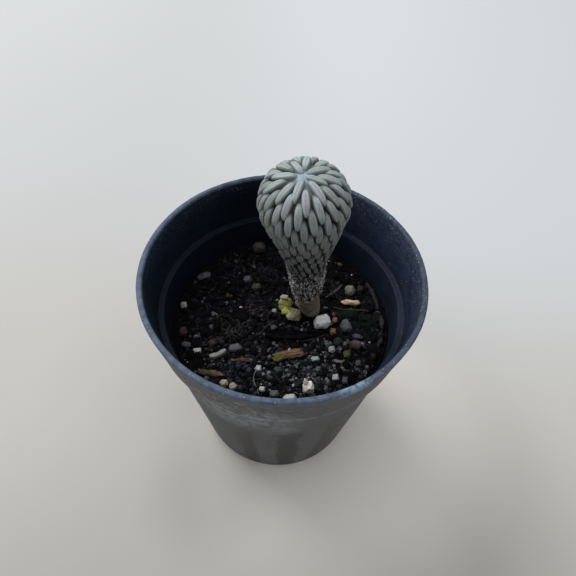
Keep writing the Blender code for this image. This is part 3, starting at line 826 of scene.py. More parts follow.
class Paint:
    """Makes the materials, each from its finish and the shared groups."""

    def __init__(self) -> None:
        """Builds the shared groups."""
        self.effects = Effects()

    def stone(self, name: str, finish: StoneFinish) -> bpy.types.Material:
        """Makes a stone's material.

        Args:
            name: the piece's name.
            finish: its look.

        Returns:
            The material.
        """
        look = Look(f"{name}_stone", 0.8, finish.gloss)
        place = look.place()
        grain = look.group(self.effects.grain, Vector=place, Scale=finish.grain_per_metre)
        dirt = look.group(self.effects.specks, Vector=place, Scale=3200.0, Share=0.16, Size=0.5)
        clouds = look.noise(place, finish.grain_per_metre * 0.35)
        vein = clouds.ramp(0.62 - 0.3 * finish.vein_share, 0.82 - 0.3 * finish.vein_share)
        tone = look.layered(
            finish.color, (grain["Tone"], shaded(finish.color, 0.72)), (vein, finish.vein),
            (dirt["Mask"] * finish.dirt, finish.grit),
        )
        rough = grain["Tone"].ramp(0.0, 1.0, 0.62, 0.9)
        return look.finished(
            tone, grain["Height"], 0.07, Roughness=rough, Subsurface_Weight=finish.glow,
            Subsurface_Radius=(1.0, 1.0, 1.0), Subsurface_Scale=1.2 * MM,
        )

    def bark(self, node: str, finish: BarkFinish, along: Vector) -> bpy.types.Material:
        """Makes a material with fibres along one direction.

        Args:
            node: the name of the solid that it covers.
            finish: its look.
            along: the direction of the fibres on the ground.

        Returns:
            The material.
        """
        look = Look(f"{node}_bark", 0.85, finish.gloss)
        place = look.place()
        turned = look.mapped(place, turn=-math.atan2(along.y, along.x))
        fibre = look.noise(look.mapped(turned, (0.10, 1.0, 1.0)), finish.fibres_per_metre, 5.0, 0.6)
        patch = look.noise(turned, 420.0)
        layers = [(fibre.ramp(0.36, 0.64), finish.streak)]
        if finish.left_end:
            low, high = box_mm(node)
            wide = high.x - low.x
            edge, fade = low.x + finish.left_share * wide + 1.0, 0.15 * wide
            run = look.split(place)[0] + patch * 0.002
            layers.append((run.ramp_mm(edge + fade, edge - fade), finish.left_end))
        tone = look.layered(finish.color, *layers, (patch.ramp(0.5, 0.72), shaded(finish.color, 0.35)))
        worn = tuple(min(part, 0.5) for part in shaded(finish.streak, 2.6))
        given = {"Color": tone, "Dust": worn, "Amount": finish.dust_amount, "Vector": turned, "Scale": 1500.0}
        return look.finished(look.group(self.effects.dust, **given)["Color"], fibre, 0.16, 0.8)

    def peat(self, name: str, dark: Color, light: Color, light_share: float) -> bpy.types.Material:
        """Makes the material of peat, crumbs or loose grains.

        Args:
            name: the piece's name.
            dark: its common colour.
            light: the colour of its lighter parts.
            light_share: how much of it is lighter, from 0 to 1.

        Returns:
            The material.
        """
        look = Look(name, 0.95, 0.10)
        place = look.place()
        patch = look.noise(place, 700.0, 4.0, 0.7)
        grain = look.group(self.effects.grain, Vector=place, Scale=2600.0)
        share = patch.ramp(0.70 - 0.35 * light_share, 0.86 - 0.35 * light_share)
        tone = look.layered(dark, (share, light), (grain["Tone"] * 0.5, shaded(dark, 0.4)))
        return look.finished(tone, grain["Height"], 0.12, 0.9)

    def plastic(self, finish: PlasticFinish) -> bpy.types.Material:
        """Makes the pot's material."""
        return PotLook(finish, self.effects).build()

    def skin(self, finish: SkinFinish) -> bpy.types.Material:
        """Makes the plant's material."""
        return SkinLook(finish, self.effects).build()

    @staticmethod
    def moss(finish: MossFinish) -> bpy.types.Material:
        """Makes the moss tuft's material.

        Args:
            finish: its look.

        Returns:
            The material.
        """
        look = Look("moss_cushion", 0.9)
        place = look.place()
        patch = look.noise(place, 620.0, 4.0, 0.6)
        fine = look.noise(place, 3400.0, 2.0)
        dull = (look.split(place)[0] + patch * 0.003).ramp_mm(3.0, 4.6)
        grain = look.distance(place, finish.grain_place).ramp_mm(1.2, 0.5, 0.0, 0.8)
        # Darker patches paint the shade between the leaves.
        tone = look.layered(
            look.mix(patch.ramp(0.42, 0.60), finish.bright, finish.bright_gap_shade),
            (dull, look.mix(patch.ramp(0.40, 0.62), finish.faded, finish.faded_gap_shade)),
            (grain, finish.grain), (fine.ramp(0.50, 0.70, 0.0, 0.5), finish.tip),
        )
        return look.finished(tone, fine, 0.15, 0.9, Subsurface_Weight=0.1)

    @staticmethod
    def floor(finish: FloorFinish) -> bpy.types.Material:
        """Makes the floor's material.

        Args:
            finish: its look.

        Returns:
            The material.
        """
        look = Look("pale_floor", 0.85, 0.15)
        place = look.place()
        x, y, _ = look.split(place)
        haze = look.noise(look.mapped(place, (1.0, 0.25, 1.0)), 14.0, 4.0)
        lit = look.distance(place, finish.lit_place)
        shade = look.distance(place, finish.shade_place)
        # The floor's tone paints light: falloff from back to front, a pool of light and a shadow by the pot;
        # haze is a faint random tone.
        tone = look.layered(
            finish.front, (y.ramp_mm(-85.0, -5.0), finish.middle),
            (haze.ramp(0.3, 0.7, 0.0, 0.12), finish.haze),
            (y.ramp_mm(-10.0, 120.0, 0.0, 0.8), finish.back),
            (x.ramp_mm(-80.0, 50.0) * y.ramp_mm(-20.0, 80.0) * 0.6, finish.back_right),
            (lit.ramp_mm(60.0, 20.0, 0.0, 0.8), finish.lit),
            (shade.ramp_mm(26.0, 6.0, 0.0, 0.35), finish.shade),
        )
        look.fill(look.shader, {"Base Color": tone})
        return look.material


# Mesh helpers


def linked(name: str, data: bpy.types.ID) -> bpy.types.Object:
    """Makes an object and links it to the scene.

    Args:
        name: its name.
        data: its mesh, lamp or camera.

    Returns:
        The object.
    """
    thing = bpy.data.objects.new(name, data)
    bpy.context.collection.objects.link(thing)
    return thing


def stored(mesh: bpy.types.Mesh, label: str, values: np.ndarray) -> None:
    """Stores a number on each point of a mesh."""
    made = mesh.attributes.new(label, "FLOAT", "POINT")
    made.data.foreach_set("value", np.asarray(values, np.float32))


def triples(mesh: bpy.types.Mesh, what: str) -> np.ndarray:
    """Reads three numbers of each point of a mesh.

    Args:
        mesh: the mesh.
        what: the name of the property.

    Returns:
        A row for each point.
    """
    flat = np.empty(len(mesh.vertices) * 3)
    mesh.vertices.foreach_get(what, flat)
    return flat.reshape(-1, 3)


def new_piece(
    name: str,
    shape: Shape,
    material: bpy.types.Material,
    smooth: bool = True,
    numbers: dict[str, np.ndarray] | None = None,
) -> bpy.types.Object:
    """Makes an object from points in millimetres.

    Args:
        name: the object's name.
        shape: its points and faces.
        material: its material.
        smooth: whether its faces are shaded smooth.
        numbers: numbers stored on its points, by name.

    Returns:
        The object, linked to the scene.
    """
    points, faces = shape
    mesh = bpy.data.meshes.new(name)
    mesh.from_pydata((np.asarray(points, float) * MM).tolist(), [], [tuple(int(i) for i in f) for f in faces])
    for label, values in (numbers or {}).items():
        stored(mesh, label, values)
    mesh.materials.append(material)
    if smooth:
        mesh.shade_smooth()
    return linked(name, mesh)


def fasten(piece: bpy.types.Object, nodes: Sequence[str] = ()) -> None:
    """Fixes a piece to the part.

    Args:
        piece: the piece.
        nodes: the solids that it stands for.
    """
    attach(piece, BODY)
    if nodes:
        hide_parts(*nodes)
    LOG.info("%s: %d faces", piece.name, len(piece.data.polygons))


def box_mm(node: str) -> Box:
    """Returns a solid's lowest and highest corner in millimetres."""
    low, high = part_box(node)
    return low / MM, high / MM


def on_ring(radius: float, angle: float, z: float = 0.0) -> Triple:
    """Returns a place on a level circle about the pot's axis."""
    return radius * math.cos(angle), radius * math.sin(angle), z


def tube_faces(rings: int, around: int, first: int = 0, open_start: bool = False) -> list[Face]:
    """Numbers the faces of a tube whose points stand in rings.

    Args:
        rings: how many rings it has.
        around: how many points a ring has.
        first: the number of its first point.
        open_start: whether its first ring has no cap.

    Returns:
        Its sides and then its caps.
    """
    faces: list[Face] = []
    last = first + (rings - 1) * around
    for start in range(first, last, around):
        for i in range(around):
            a, b = start + i, start + (i + 1) % around
            faces.append((a, b, b + around, a + around))
    if not open_start:
        faces.append(tuple(range(first + around - 1, first - 1, -1)))
    faces.append(tuple(range(last, last + around)))
    return faces


def fitted(points: np.ndarray, box: Box) -> np.ndarray:
    """Returns points stretched to fill a box."""
    low, high = (np.array(corner) for corner in box)
    return (points - points.min(0)) / (points.max(0) - points.min(0)) * (high - low) + low


def long_axis(points: np.ndarray) -> np.ndarray:
    """Returns the direction that points spread in most."""
    spread = points - points.mean(0)
    return np.linalg.eigh(spread.T @ spread)[1][:, -1]


def ragged(points: np.ndarray, normals: np.ndarray, layers: Pairs, shift: float) -> np.ndarray:
    """Moves points along their normals by layers of noise.

    Args:
        points: the points, in millimetres.
        normals: their normals.
        layers: the wave size and the depth of each layer, in millimetres.
        shift: moves the noise, so that two pieces differ.

    Returns:
        The moved points.
    """
    moved = points.copy()
    for wave, depth in layers:
        for i, point in enumerate(points):
            place = Vector(point) / wave + Vector((shift, shift * 0.7, 0.0))
            moved[i] += normals[i] * (noise.noise(place) * depth)
    return moved


def turned(first: np.ndarray, second: np.ndarray, angle: np.ndarray) -> tuple[np.ndarray, np.ndarray]:
    """Turns each row of two coordinates by its own angle."""
    cos, sin = np.cos(angle)[:, None], np.sin(angle)[:, None]
    return first * cos - second * sin, first * sin + second * cos


def strewn(places: np.ndarray, sizes: np.ndarray, seed: int, flatness: float = 0.7, detail: int = 1) -> Shape:
    """Makes many small lumps, each a ball with LUMP_CUTS flats at LUMP_REACH of its radius.

    Args:
        places: the middle of each.
        sizes: the length of each.
        seed: starts the random draws.
        flatness: their height over their length.
        detail: 1 for 20 faces each, 2 for 80.

    Returns:
        Their points and triangles.
    """
    draw = np.random.default_rng(seed)
    ball = bmesh.new()
    bmesh.ops.create_icosphere(ball, subdivisions=detail, radius=1.0)
    ball.verts.index_update()
    corner = np.array([v.co for v in ball.verts])
    faces = np.array([[v.index for v in f.verts] for f in ball.faces])
    ball.free()
    count = len(places)
    planes = draw.normal(0, 1, (count, LUMP_CUTS, 3))
    planes /= np.linalg.norm(planes, axis=2)[..., None]
    toward = np.einsum("vk,cpk->cvp", corner, planes)
    reach = draw.uniform(*LUMP_REACH, (count, 1, LUMP_CUTS)) / np.maximum(toward, 0.05)
    lumps = corner[None] * np.minimum(reach.min(2), 1.1)[..., None]
    wide, tall = draw.uniform(0.6, 1.0, count), draw.uniform(0.8, 1.2, count)
    scale = np.stack([np.ones(count), wide, tall * flatness], 1)
    lumps = lumps * scale[:, None] * sizes[:, None, None] / 2
    spin, tip = draw.uniform(0, math.tau, count), draw.normal(0, 0.4, count)
    x, y, z = lumps[..., 0], lumps[..., 1], lumps[..., 2]
    y, z = turned(y, z, tip)
    x, y = turned(x, y, spin)
    points = np.stack([x, y, z], -1) + places[:, None]
    numbered = faces[None] + (np.arange(count) * len(corner))[:, None, None]
    return points.reshape(-1, 3), numbered.reshape(-1, 3)


def threads(paths: Sequence[np.ndarray], radii: Sequence[float], sides: int, flatness: float = 1.0) -> Shape:
    """Makes thin threads that taper to their ends.

    Args:
        paths: the points along each.
        radii: the radius of each.
        sides: how many sides they have.
        flatness: their thickness over their width.

    Returns:
        Their points and faces.
    """
    points: list[Vector] = []
    faces: list[Face] = []
    for path, radius in zip(paths, radii):
        faces += tube_faces(len(path), sides, len(points))
        last = len(path) - 1
        for i, place in enumerate(path):
            along = Vector(path[min(i + 1, last)] - path[max(i - 1, 0)]).normalized()
            across = Vector((-along.y, along.x, 0.0)).normalized()
            other = along.cross(across) * flatness
            share = min(max(i / last, 0.06), 0.94)
            thick = radius * (0.35 + 0.65 * math.sin(math.pi * share) ** 0.5)
            for k in range(sides):
                turn = math.tau * k / sides
                points.append(Vector(place) + (across * math.cos(turn) + other * math.sin(turn)) * thick)
    return np.array(points), faces


def finer(mesh: bpy.types.Mesh, box: Box, voxel: float, layers: Pairs, seed: float) -> Shape:
    """Gives a closed mesh a fine, uneven surface and fits it to a box.

    Args:
        mesh: the mesh, which is used up.
        box: the box's lowest and highest corner, in millimetres.
        voxel: the size of the new faces, in millimetres.
        layers: the noise on the surface, as ragged takes it.
        seed: moves the noise.

    Returns:
        Its points and faces.
    """
    thing = linked("finer_copy", mesh)
    remesh = thing.modifiers.new("remesh", "REMESH")
    remesh.mode = "VOXEL"
    remesh.voxel_size = voxel * MM
    soften = thing.modifiers.new("soften", "SMOOTH")
    soften.factor = 0.5
    soften.iterations = 1
    made = bpy.data.meshes.new_from_object(thing.evaluated_get(bpy.context.evaluated_depsgraph_get()))
    points = ragged(triples(made, "co") / MM, triples(made, "normal"), layers, seed)
    faces = [tuple(p.vertices) for p in made.polygons]
    bpy.data.objects.remove(thing)
    bpy.data.meshes.remove(made)
    bpy.data.meshes.remove(mesh)
    return fitted(points, box), faces


def finer_solid(node: str, voxel: float, layers: Pairs, seed: float) -> Shape:
    """Copies a solid with a fine, uneven surface, as finer makes it."""
    return finer(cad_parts[node].data.copy(), box_mm(node), voxel, layers, seed)


class TopOf:
    """The upper surface of one solid."""

    def __init__(self, node: str) -> None:
        """Reads the faces of one solid.

        Args:
            node: the solid's name.
        """
        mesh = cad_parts[node].data
        points = [v.co / MM for v in mesh.vertices]
        self.tree = BVHTree.FromPolygons(points, [p.vertices for p in mesh.polygons])

    def height(self, x: float, y: float) -> float:
        """Returns the surface's height at a place, or 0 beside the solid."""
        place = self.tree.ray_cast(Vector((x, y, 200.0)), Vector((0.0, 0.0, -1.0)))[0]
        return place.z if place else 0.0


# The plant


@dataclass
class PlantSkin:
    """The plant's outer surface, measured from its growing point downwards."""

    root: Vector = field(default_factory=lambda: Vector((7.6, 3.6, 48.0)))
    lean_left: float = math.radians(4.3)
    lean_front: float = math.radians(5.5)
    foot_shift: float = 1.1
    foot_bend_height: float = 9.0
    crown_shift: float = 0.75
    crown_start: float = 43.0
    outline: Pairs = (
        (0.0, 2.0), (2.5, 2.9), (5.0, 3.4), (8.0, 3.7), (13.5, 4.0), (20.0, 4.5), (26.0, 5.2),
        (31.0, 6.3), (36.0, 7.6), (41.0, 9.1), (45.0, 10.0), (47.8, 10.65),
    )
    dome_height: float = 8.9
    dome_fullness: float = 2.25
    area: Pairs = (
        (0.0, 5.6), (13.0, 5.8), (20.0, 6.1), (26.0, 6.4), (31.0, 7.2), (36.0, 8.7), (41.0, 10.5),
        (47.8, 12.0),
    )
    dome_steps: int = 90
    stem_steps: int = 200
    smoothing: int = 13
    probe: float = 0.4

    def __post_init__(self) -> None:
        """Works out the surface's curve and how many tubercles lie above each place."""
        top, dome_radius = self.outline[-1]
        quarter = np.linspace(math.pi / 2, 0.0, self.dome_steps)
        power = 2 / self.dome_fullness
        dome_t = top + self.dome_height * np.sin(quarter) ** power
        dome_r = dome_radius * np.abs(np.cos(quarter)) ** power
        stem_t = np.linspace(top, 0.0, self.stem_steps)[1:]
        rough = np.interp(stem_t, *np.array(self.outline).T)
        kernel = np.hanning(self.smoothing) / np.hanning(self.smoothing).sum()
        stem_r = np.convolve(np.pad(rough, self.smoothing // 2, mode="edge"), kernel, mode="valid")
        self.t = np.concatenate([dome_t, stem_t])
        self.r = np.concatenate([dome_r, stem_r])
        self.r[0] = 0.0
        step = np.hypot(np.diff(self.t), np.diff(self.r))
        self.s = np.concatenate([[0.0], np.cumsum(step)])
        share = np.interp(self.t, *np.array(self.area).T)
        ring = math.pi * (self.r[1:] + self.r[:-1]) * step / (0.5 * (share[1:] + share[:-1]))
        self.count = np.concatenate([[0.0], np.cumsum(ring)])
        self.axis = Vector((-math.tan(self.lean_left), -math.tan(self.lean_front), 1.0)).normalized()
        self.side = Vector((0, 1, 0)).cross(self.axis).normalized()
        self.back = self.axis.cross(self.side)

    def height(self, s: np.ndarray) -> np.ndarray:
        """Returns the height along the plant's axis at a distance from the growing point."""
        return np.interp(s, self.s, self.t)

    def above(self, height: float) -> float:
        """Returns how many tubercles lie above a height."""
        return float(np.interp(-height, -self.t, self.count))

    def at(self, angle: np.ndarray, s: np.ndarray) -> tuple[np.ndarray, np.ndarray, np.ndarray]:
        """Reads the surface.

        Args:
            angle: the angles about the plant's axis.
            s: the distances from the growing point.

        Returns:
            The points, the directions across and the outward directions.
        """
        t, r = self.height(s), np.interp(s, self.s, self.r)
        near, far = np.maximum(s - self.probe, 0.0), s + self.probe
        dt = self.height(far) - self.height(near)
        dr = np.interp(far, self.s, self.r) - np.interp(near, self.s, self.r)
        length = np.hypot(dt, dr)
        side, back, axis = (np.array(v) for v in (self.side, self.back, self.axis))
        cos, sin = np.cos(angle)[..., None], np.sin(angle)[..., None]
        around = side * cos + back * sin
        across = back * cos - side * sin
        points = np.array(self.root) + axis * t[..., None] + around * r[..., None]
        bend = np.maximum(0.0, 1.0 - t / self.foot_bend_height)
        points = points + bend[..., None] ** 2 * np.array((self.foot_shift, 0.0, 0.0))
        crown = np.clip((t - self.crown_start) / (self.t[0] - self.crown_start), 0.0, 1.0)
        points = points + crown[..., None] ** 1.5 * np.array((0.0, self.crown_shift, 0.0))
        out = axis * (dr / length)[..., None] - around * (dt / length)[..., None]
        return points, across, out


@dataclass
class Cactus:
    """The whole plant: tubercles on a core, with a corky foot."""

    paint: Paint
    skin: PlantSkin = field(default_factory=PlantSkin)
    finish: SkinFinish = field(default_factory=SkinFinish)
    golden_angle: float = math.radians(137.508)
    first_angle: float = math.radians(203.0)
    lowest_tubercle: float = 11.0
    rise: Pairs = (
        (0.0, 0.4), (13.0, 0.8), (20.0, 1.1), (31.0, 1.6), (41.0, 2.2), (47.8, 2.2), (53.5, 1.6), (56.5, 1.2),
    )
    length: Pairs = (
        (0.0, 2.8), (13.0, 3.8), (19.0, 4.9), (25.0, 5.6), (31.0, 5.5), (36.0, 5.8), (41.0, 6.6), (47.8, 7.6),
    )
    width: Pairs = (
        (0.0, 1.2), (13.0, 1.25), (24.0, 1.32), (28.0, 1.5), (31.0, 1.9), (36.0, 2.15), (41.0, 2.0),
        (47.8, 1.98),
    )
    slant: Pairs = ((14.0, 0.19), (26.0, 0.19), (32.0, 0.08), (37.0, 0.0))
    rows: int = 17
    core_rows: int = 120
    core_around: int = 110
    young_reach: float = 2.3
    foot_depth: float = 1.6
    foot_radius: float = 1.9
    seed: int = 11
    crumbs_each: int = 120
    wool_share: float = 0.42
    crust_heights: tuple[float, float] = (10.4, 27.0)
    crust_fade: Pairs = ((-0.2, 0.0), (0.6, 1.0), (7.5, 0.85), (11.0, 0.32), (15.0, 0.0))
    clump_size: float = 0.85
    spines: int = 260
    spine_radius: float = 0.055
    spine_heights: tuple[float, float] = (9.0, 27.0)

    def read(self, pairs: Pairs, s: np.ndarray) -> np.ndarray:
        """Reads a size that changes along the plant's axis."""
        return np.interp(self.skin.height(s), *np.array(pairs).T)

    def groove(self, s: np.ndarray) -> np.ndarray:
        """Works out how deep the core lies under the crests.

        Args:
            s: the distances from the growing point.

        Returns:
            The depth at each.
        """
        blend = np.clip(s / 3.4, 0.0, 1.0)
        blend = blend * blend * (3 - 2 * blend)
        return 0.55 + (self.read(self.rise, s) - 0.55) * blend

    def young(self, s: np.ndarray) -> np.ndarray:
        """Returns how young the skin is at each distance, from 0 to 1."""
        return np.exp(-((s / self.young_reach) ** 2))

    def tubercles(self) -> tuple[np.ndarray, list[Face], dict[str, np.ndarray]]:
        """Builds every tubercle, one per golden angle.

        Returns:
            Their points, faces and stored numbers.
        """
        skin = self.skin
        draw = np.random.default_rng(self.seed)
        n = np.arange(1, int(skin.above(self.lowest_tubercle)))
        s0 = np.interp(n + 0.5, skin.count, skin.s)
        size = len(n)
        loose = np.interp(skin.height(s0), [22.0, 31.0], [1.0, 0.0])
        angle0 = self.first_angle + self.golden_angle * n + draw.normal(0, 0.035, size) * loose
        s0 = s0 + draw.normal(0, 0.20, size) * loose
        rough = np.interp(skin.height(s0), [12.0, 24.0], [1.0, 0.0])
        jitter = 0.035 + 0.12 * rough
        half = 0.5 * self.read(self.length, s0) * (1 + draw.normal(0, 1, size) * jitter)
        upper = np.minimum(half, s0 - 0.20)
        wide = 0.5 * self.read(self.width, s0) * (1 + draw.normal(0, 1, size) * jitter)
        wide *= np.clip(0.62 + 0.38 * s0 / 3.5, 0.0, 1.0)
        yaw = draw.normal(0, 0.035 + 0.1 * rough, size) + self.read(self.slant, s0)
        bend = draw.normal(0, 0.10, size)
        lift = draw.normal(0, 0.05 + 0.08 * rough, size)
        tone = draw.uniform(-1, 1, size)
        each = (self.read(self.rise, s0), s0, angle0, half, upper, wide, yaw, bend, lift, tone)
        rise, s0, angle0, half, upper, wide, yaw, bend, lift, tone = (v[:, None, None] for v in each)
        row = -np.cos(np.linspace(0, math.pi, self.rows))
        row[0], row[-1] = -0.999, 0.999
        ring = np.radians(np.concatenate([np.linspace(0.0, 180.0, 13), [225.0, 270.0, 315.0]]))
        u = row[None, :, None]
        cos, sin = np.cos(ring[None, None, :]), np.sin(ring[None, None, :])
        across = np.sign(cos) * np.abs(cos) ** 0.62
        along = u * np.where(u < 0, upper, half)
        narrow = np.where(u < 0, (1 - np.abs(u) ** 2.2) ** 0.6, (1 - np.abs(u) ** 2.1) ** 0.66)
        blunt = (1 - np.abs(u) ** 5) ** 0.5
        x = wide * narrow * across + along * np.tan(yaw) + bend * (1 - u * u)
        depth = rise + 0.5
        tilt = rise * np.where(u < 0, 0.42 * np.abs(u) ** 2.5, -0.12 * u * u)
        tall = (depth - tilt) * blunt * np.abs(sin) ** 0.5 * (sin > 0)
        z = lift - depth + tall - 0.15 * (sin < -0.1)
        s = np.maximum(s0 + along + 0 * x, 0.02)
        points, sideways, out = skin.at(angle0 + 0 * x, s)
        points = points + sideways * x[..., None] + out * z[..., None]
        numbers = {
            "crest": np.clip(1 + z / (rise + 0.2), 0, 1),
            "age": s / float(skin.s[-1]),
            "tone": tone,
            "young": self.young(s),
            "across": across,
            "along": along,
        }
        numbers = {label: np.broadcast_to(values, x.shape).reshape(-1) for label, values in numbers.items()}
        faces: list[Face] = []
        for k in range(size):
            faces += tube_faces(self.rows, len(ring), k * self.rows * len(ring))
        flat, outward = points.reshape(-1, 3), out.reshape(-1, 3)
        flat = ragged(flat, outward, ((1.7, 0.10), (0.6, 0.035)), 3.3)
        aged = np.clip((numbers["age"] - 0.62) / 0.2, 0, 1)
        crusted = ragged(flat, outward, ((0.42, 0.30),), 8.1)
        return flat + (crusted - flat) * aged[:, None], faces, numbers

    def core(self) -> tuple[np.ndarray, list[Face], dict[str, np.ndarray]]:
        """Builds the body under the tubercles, down to the foot in the potting mix.

        Returns:
            Its points, faces and stored numbers.
        """
        skin, around = self.skin, self.core_around
        total = float(skin.s[-1])
        s = np.linspace(0.0, 1.0, self.core_rows) ** 0.9 * total
        angle = np.linspace(0, math.tau, around, endpoint=False)
        grid_s, grid_angle = np.meshgrid(s, angle, indexing="ij")
        height = skin.height(grid_s)
        points, _, out = skin.at(grid_angle, grid_s)
        foot = np.clip((height - 1.5) / (self.lowest_tubercle + 3.0), 0.0, 1.0)
        points = points - out * (self.groove(grid_s) * foot)[..., None]
        flat, outward = points.reshape(-1, 3), out.reshape(-1, 3)
        bare = 1 - np.clip((height - 8.0) / 4.0, 0, 1).reshape(-1)
        rough = ragged(flat, outward, ((2.2, 0.5), (0.7, 0.22)), 5.7)
        flat = flat + (rough - flat) * (0.25 + 0.75 * bare)[:, None]
        sunk = np.array(skin.root) + np.array([[skin.foot_shift, 0.0, -self.foot_depth]])
        edge = sunk + self.foot_radius * np.stack([np.cos(angle), np.sin(angle), np.zeros(around)], 1)
        flat = np.concatenate([flat, edge])
        bare = np.concatenate([bare, np.ones(around)])
        young = np.concatenate([self.young(grid_s).reshape(-1), np.zeros(around)])
        numbers = {
            "crest": np.maximum(0.8 * bare, np.clip(1.3 * young, 0, 1)),
            "age": np.concatenate([(grid_s / total).reshape(-1), np.ones(around)]),
            "tone": np.zeros(len(flat)),
            "young": young,
            "across": np.ones(len(flat)),
            "along": np.zeros(len(flat)),
        }
        return flat, tube_faces(self.core_rows + 1, around, open_start=True), numbers

    def crust(self, draw: np.random.Generator) -> None:
        """Builds the pale crumbs of old wool, pale more often at the left and right edges as painted rim
        light, and the dark crust between them.

        Args:
            draw: makes the random draws.
        """
        skin = self.skin
        low, high = self.crust_heights
        n = np.repeat(np.arange(int(skin.above(high)), int(skin.above(low))), self.crumbs_each)
        count = len(n)
        s = np.interp(n + 0.5, skin.count, skin.s)
        s = s + draw.uniform(-0.45, 0.50, count) * self.read(self.length, s)
        radius = np.interp(s, skin.s, skin.r)
        angle = self.first_angle + self.golden_angle * n + draw.normal(0.0, 0.40, count) / radius
        points, _, out = skin.at(angle, s)
        rightward = np.cos(angle)
        above = skin.height(s) - (low + 3.0 * (0.5 + 0.5 * rightward))
        clumps = np.array([noise.noise(Vector(point) / self.clump_size) for point in points])
        likely = np.interp(above, *np.array(self.crust_fade).T) * np.clip(0.75 + 1.6 * clumps, 0.08, 1.0)
        places = points + out * (draw.uniform(-0.30, 0.16, count) + 0.45 * np.clip(clumps, 0.0, 0.6))[:, None]
        kept = draw.random(count) < likely
        # Crumbs at the left and right edges are pale more often: painted rim light on top of the real wool.
        wool_and_rim_light = self.wool_share + 0.5 * clumps + 0.12 * np.abs(rightward)
        pale = (draw.random(count) < wool_and_rim_light)[kept]
        places = places[kept]
        kinds = (
            ("neck_wool", places[pale], (0.31, 0.295, 0.265), (0.72, 0.705, 0.655)),
            ("neck_crust", places[~pale], (0.020, 0.019, 0.017), (0.100, 0.092, 0.083)),
        )
        for number, (name, chosen, dark, light) in enumerate(kinds):
            sizes = draw.uniform(0.20, 0.52, len(chosen))
            crumbs = strewn(chosen, sizes, self.seed + 6 + number, 0.9)
            look = self.paint.peat(name, dark, light, 0.9)
            fasten(new_piece(name, crumbs, look, smooth=False))

    def comb_spines(self, draw: np.random.Generator) -> None:
        """Builds the dry comb spines on the neck.

        Args:
            draw: makes the random draws.
        """
        skin = self.skin
        s = np.interp(-draw.uniform(*self.spine_heights, self.spines), -skin.t, skin.s)
        points, across, out = skin.at(draw.uniform(0, math.tau, self.spines), s)
        lean = draw.uniform(-1.0, 1.0, (self.spines, 2))
        paths = []
        for point, side, away, (left, up) in zip(points, across, out, lean):
            tip = away * 0.55 + side * left * 0.55 + np.array(skin.axis) * up * 0.5
            paths.append(np.array([point - away * 0.3 + tip * share for share in (0.0, 0.5, 1.0)]))
        look = self.paint.peat("neck_spines", (0.20, 0.19, 0.17), (0.46, 0.45, 0.42), 0.8)
        shape = threads(paths, [self.spine_radius] * self.spines, 4)
        fasten(new_piece("neck_spines", shape, look))

    def build(self) -> None:
        """Builds and dresses the plant."""
        draw = np.random.default_rng(self.seed + 5)
        self.crust(draw)
        self.comb_spines(draw)
        core, core_faces, inner = self.core()
        skin, skin_faces, outer = self.tubercles()
        points = np.concatenate([core, skin])
        faces = core_faces + [tuple(i + len(core) for i in face) for face in skin_faces]
        numbers = {label: np.concatenate([inner[label], outer[label]]) for label in inner}
        plant = new_piece("cactus_plant", (points, faces), self.paint.skin(self.finish), numbers=numbers)
        fasten(plant, ["cactus"])


# The pot


def filleted(outline: Sequence[tuple[float, float]], radius: float, steps: int = 3) -> Pairs:
    """Rounds the corners of an outline.

    Args:
        outline: its corners.
        radius: how far from a corner the round starts.
        steps: how many pieces a round has.

    Returns:
        The rounded outline's points.
    """
    made = [outline[0]]
    for corners in zip(outline, outline[1:], outline[2:]):
        a, b, c = (Vector(corner) for corner in corners)
        start = b + (a - b).normalized() * min(radius, (b - a).length * 0.4)
        end = b + (c - b).normalized() * min(radius, (c - b).length * 0.4)
        for i in range(steps + 1):
            share = i / steps
            made.append(tuple(start.lerp(b, share).lerp(b.lerp(end, share), share)))
    return (*made, outline[-1])


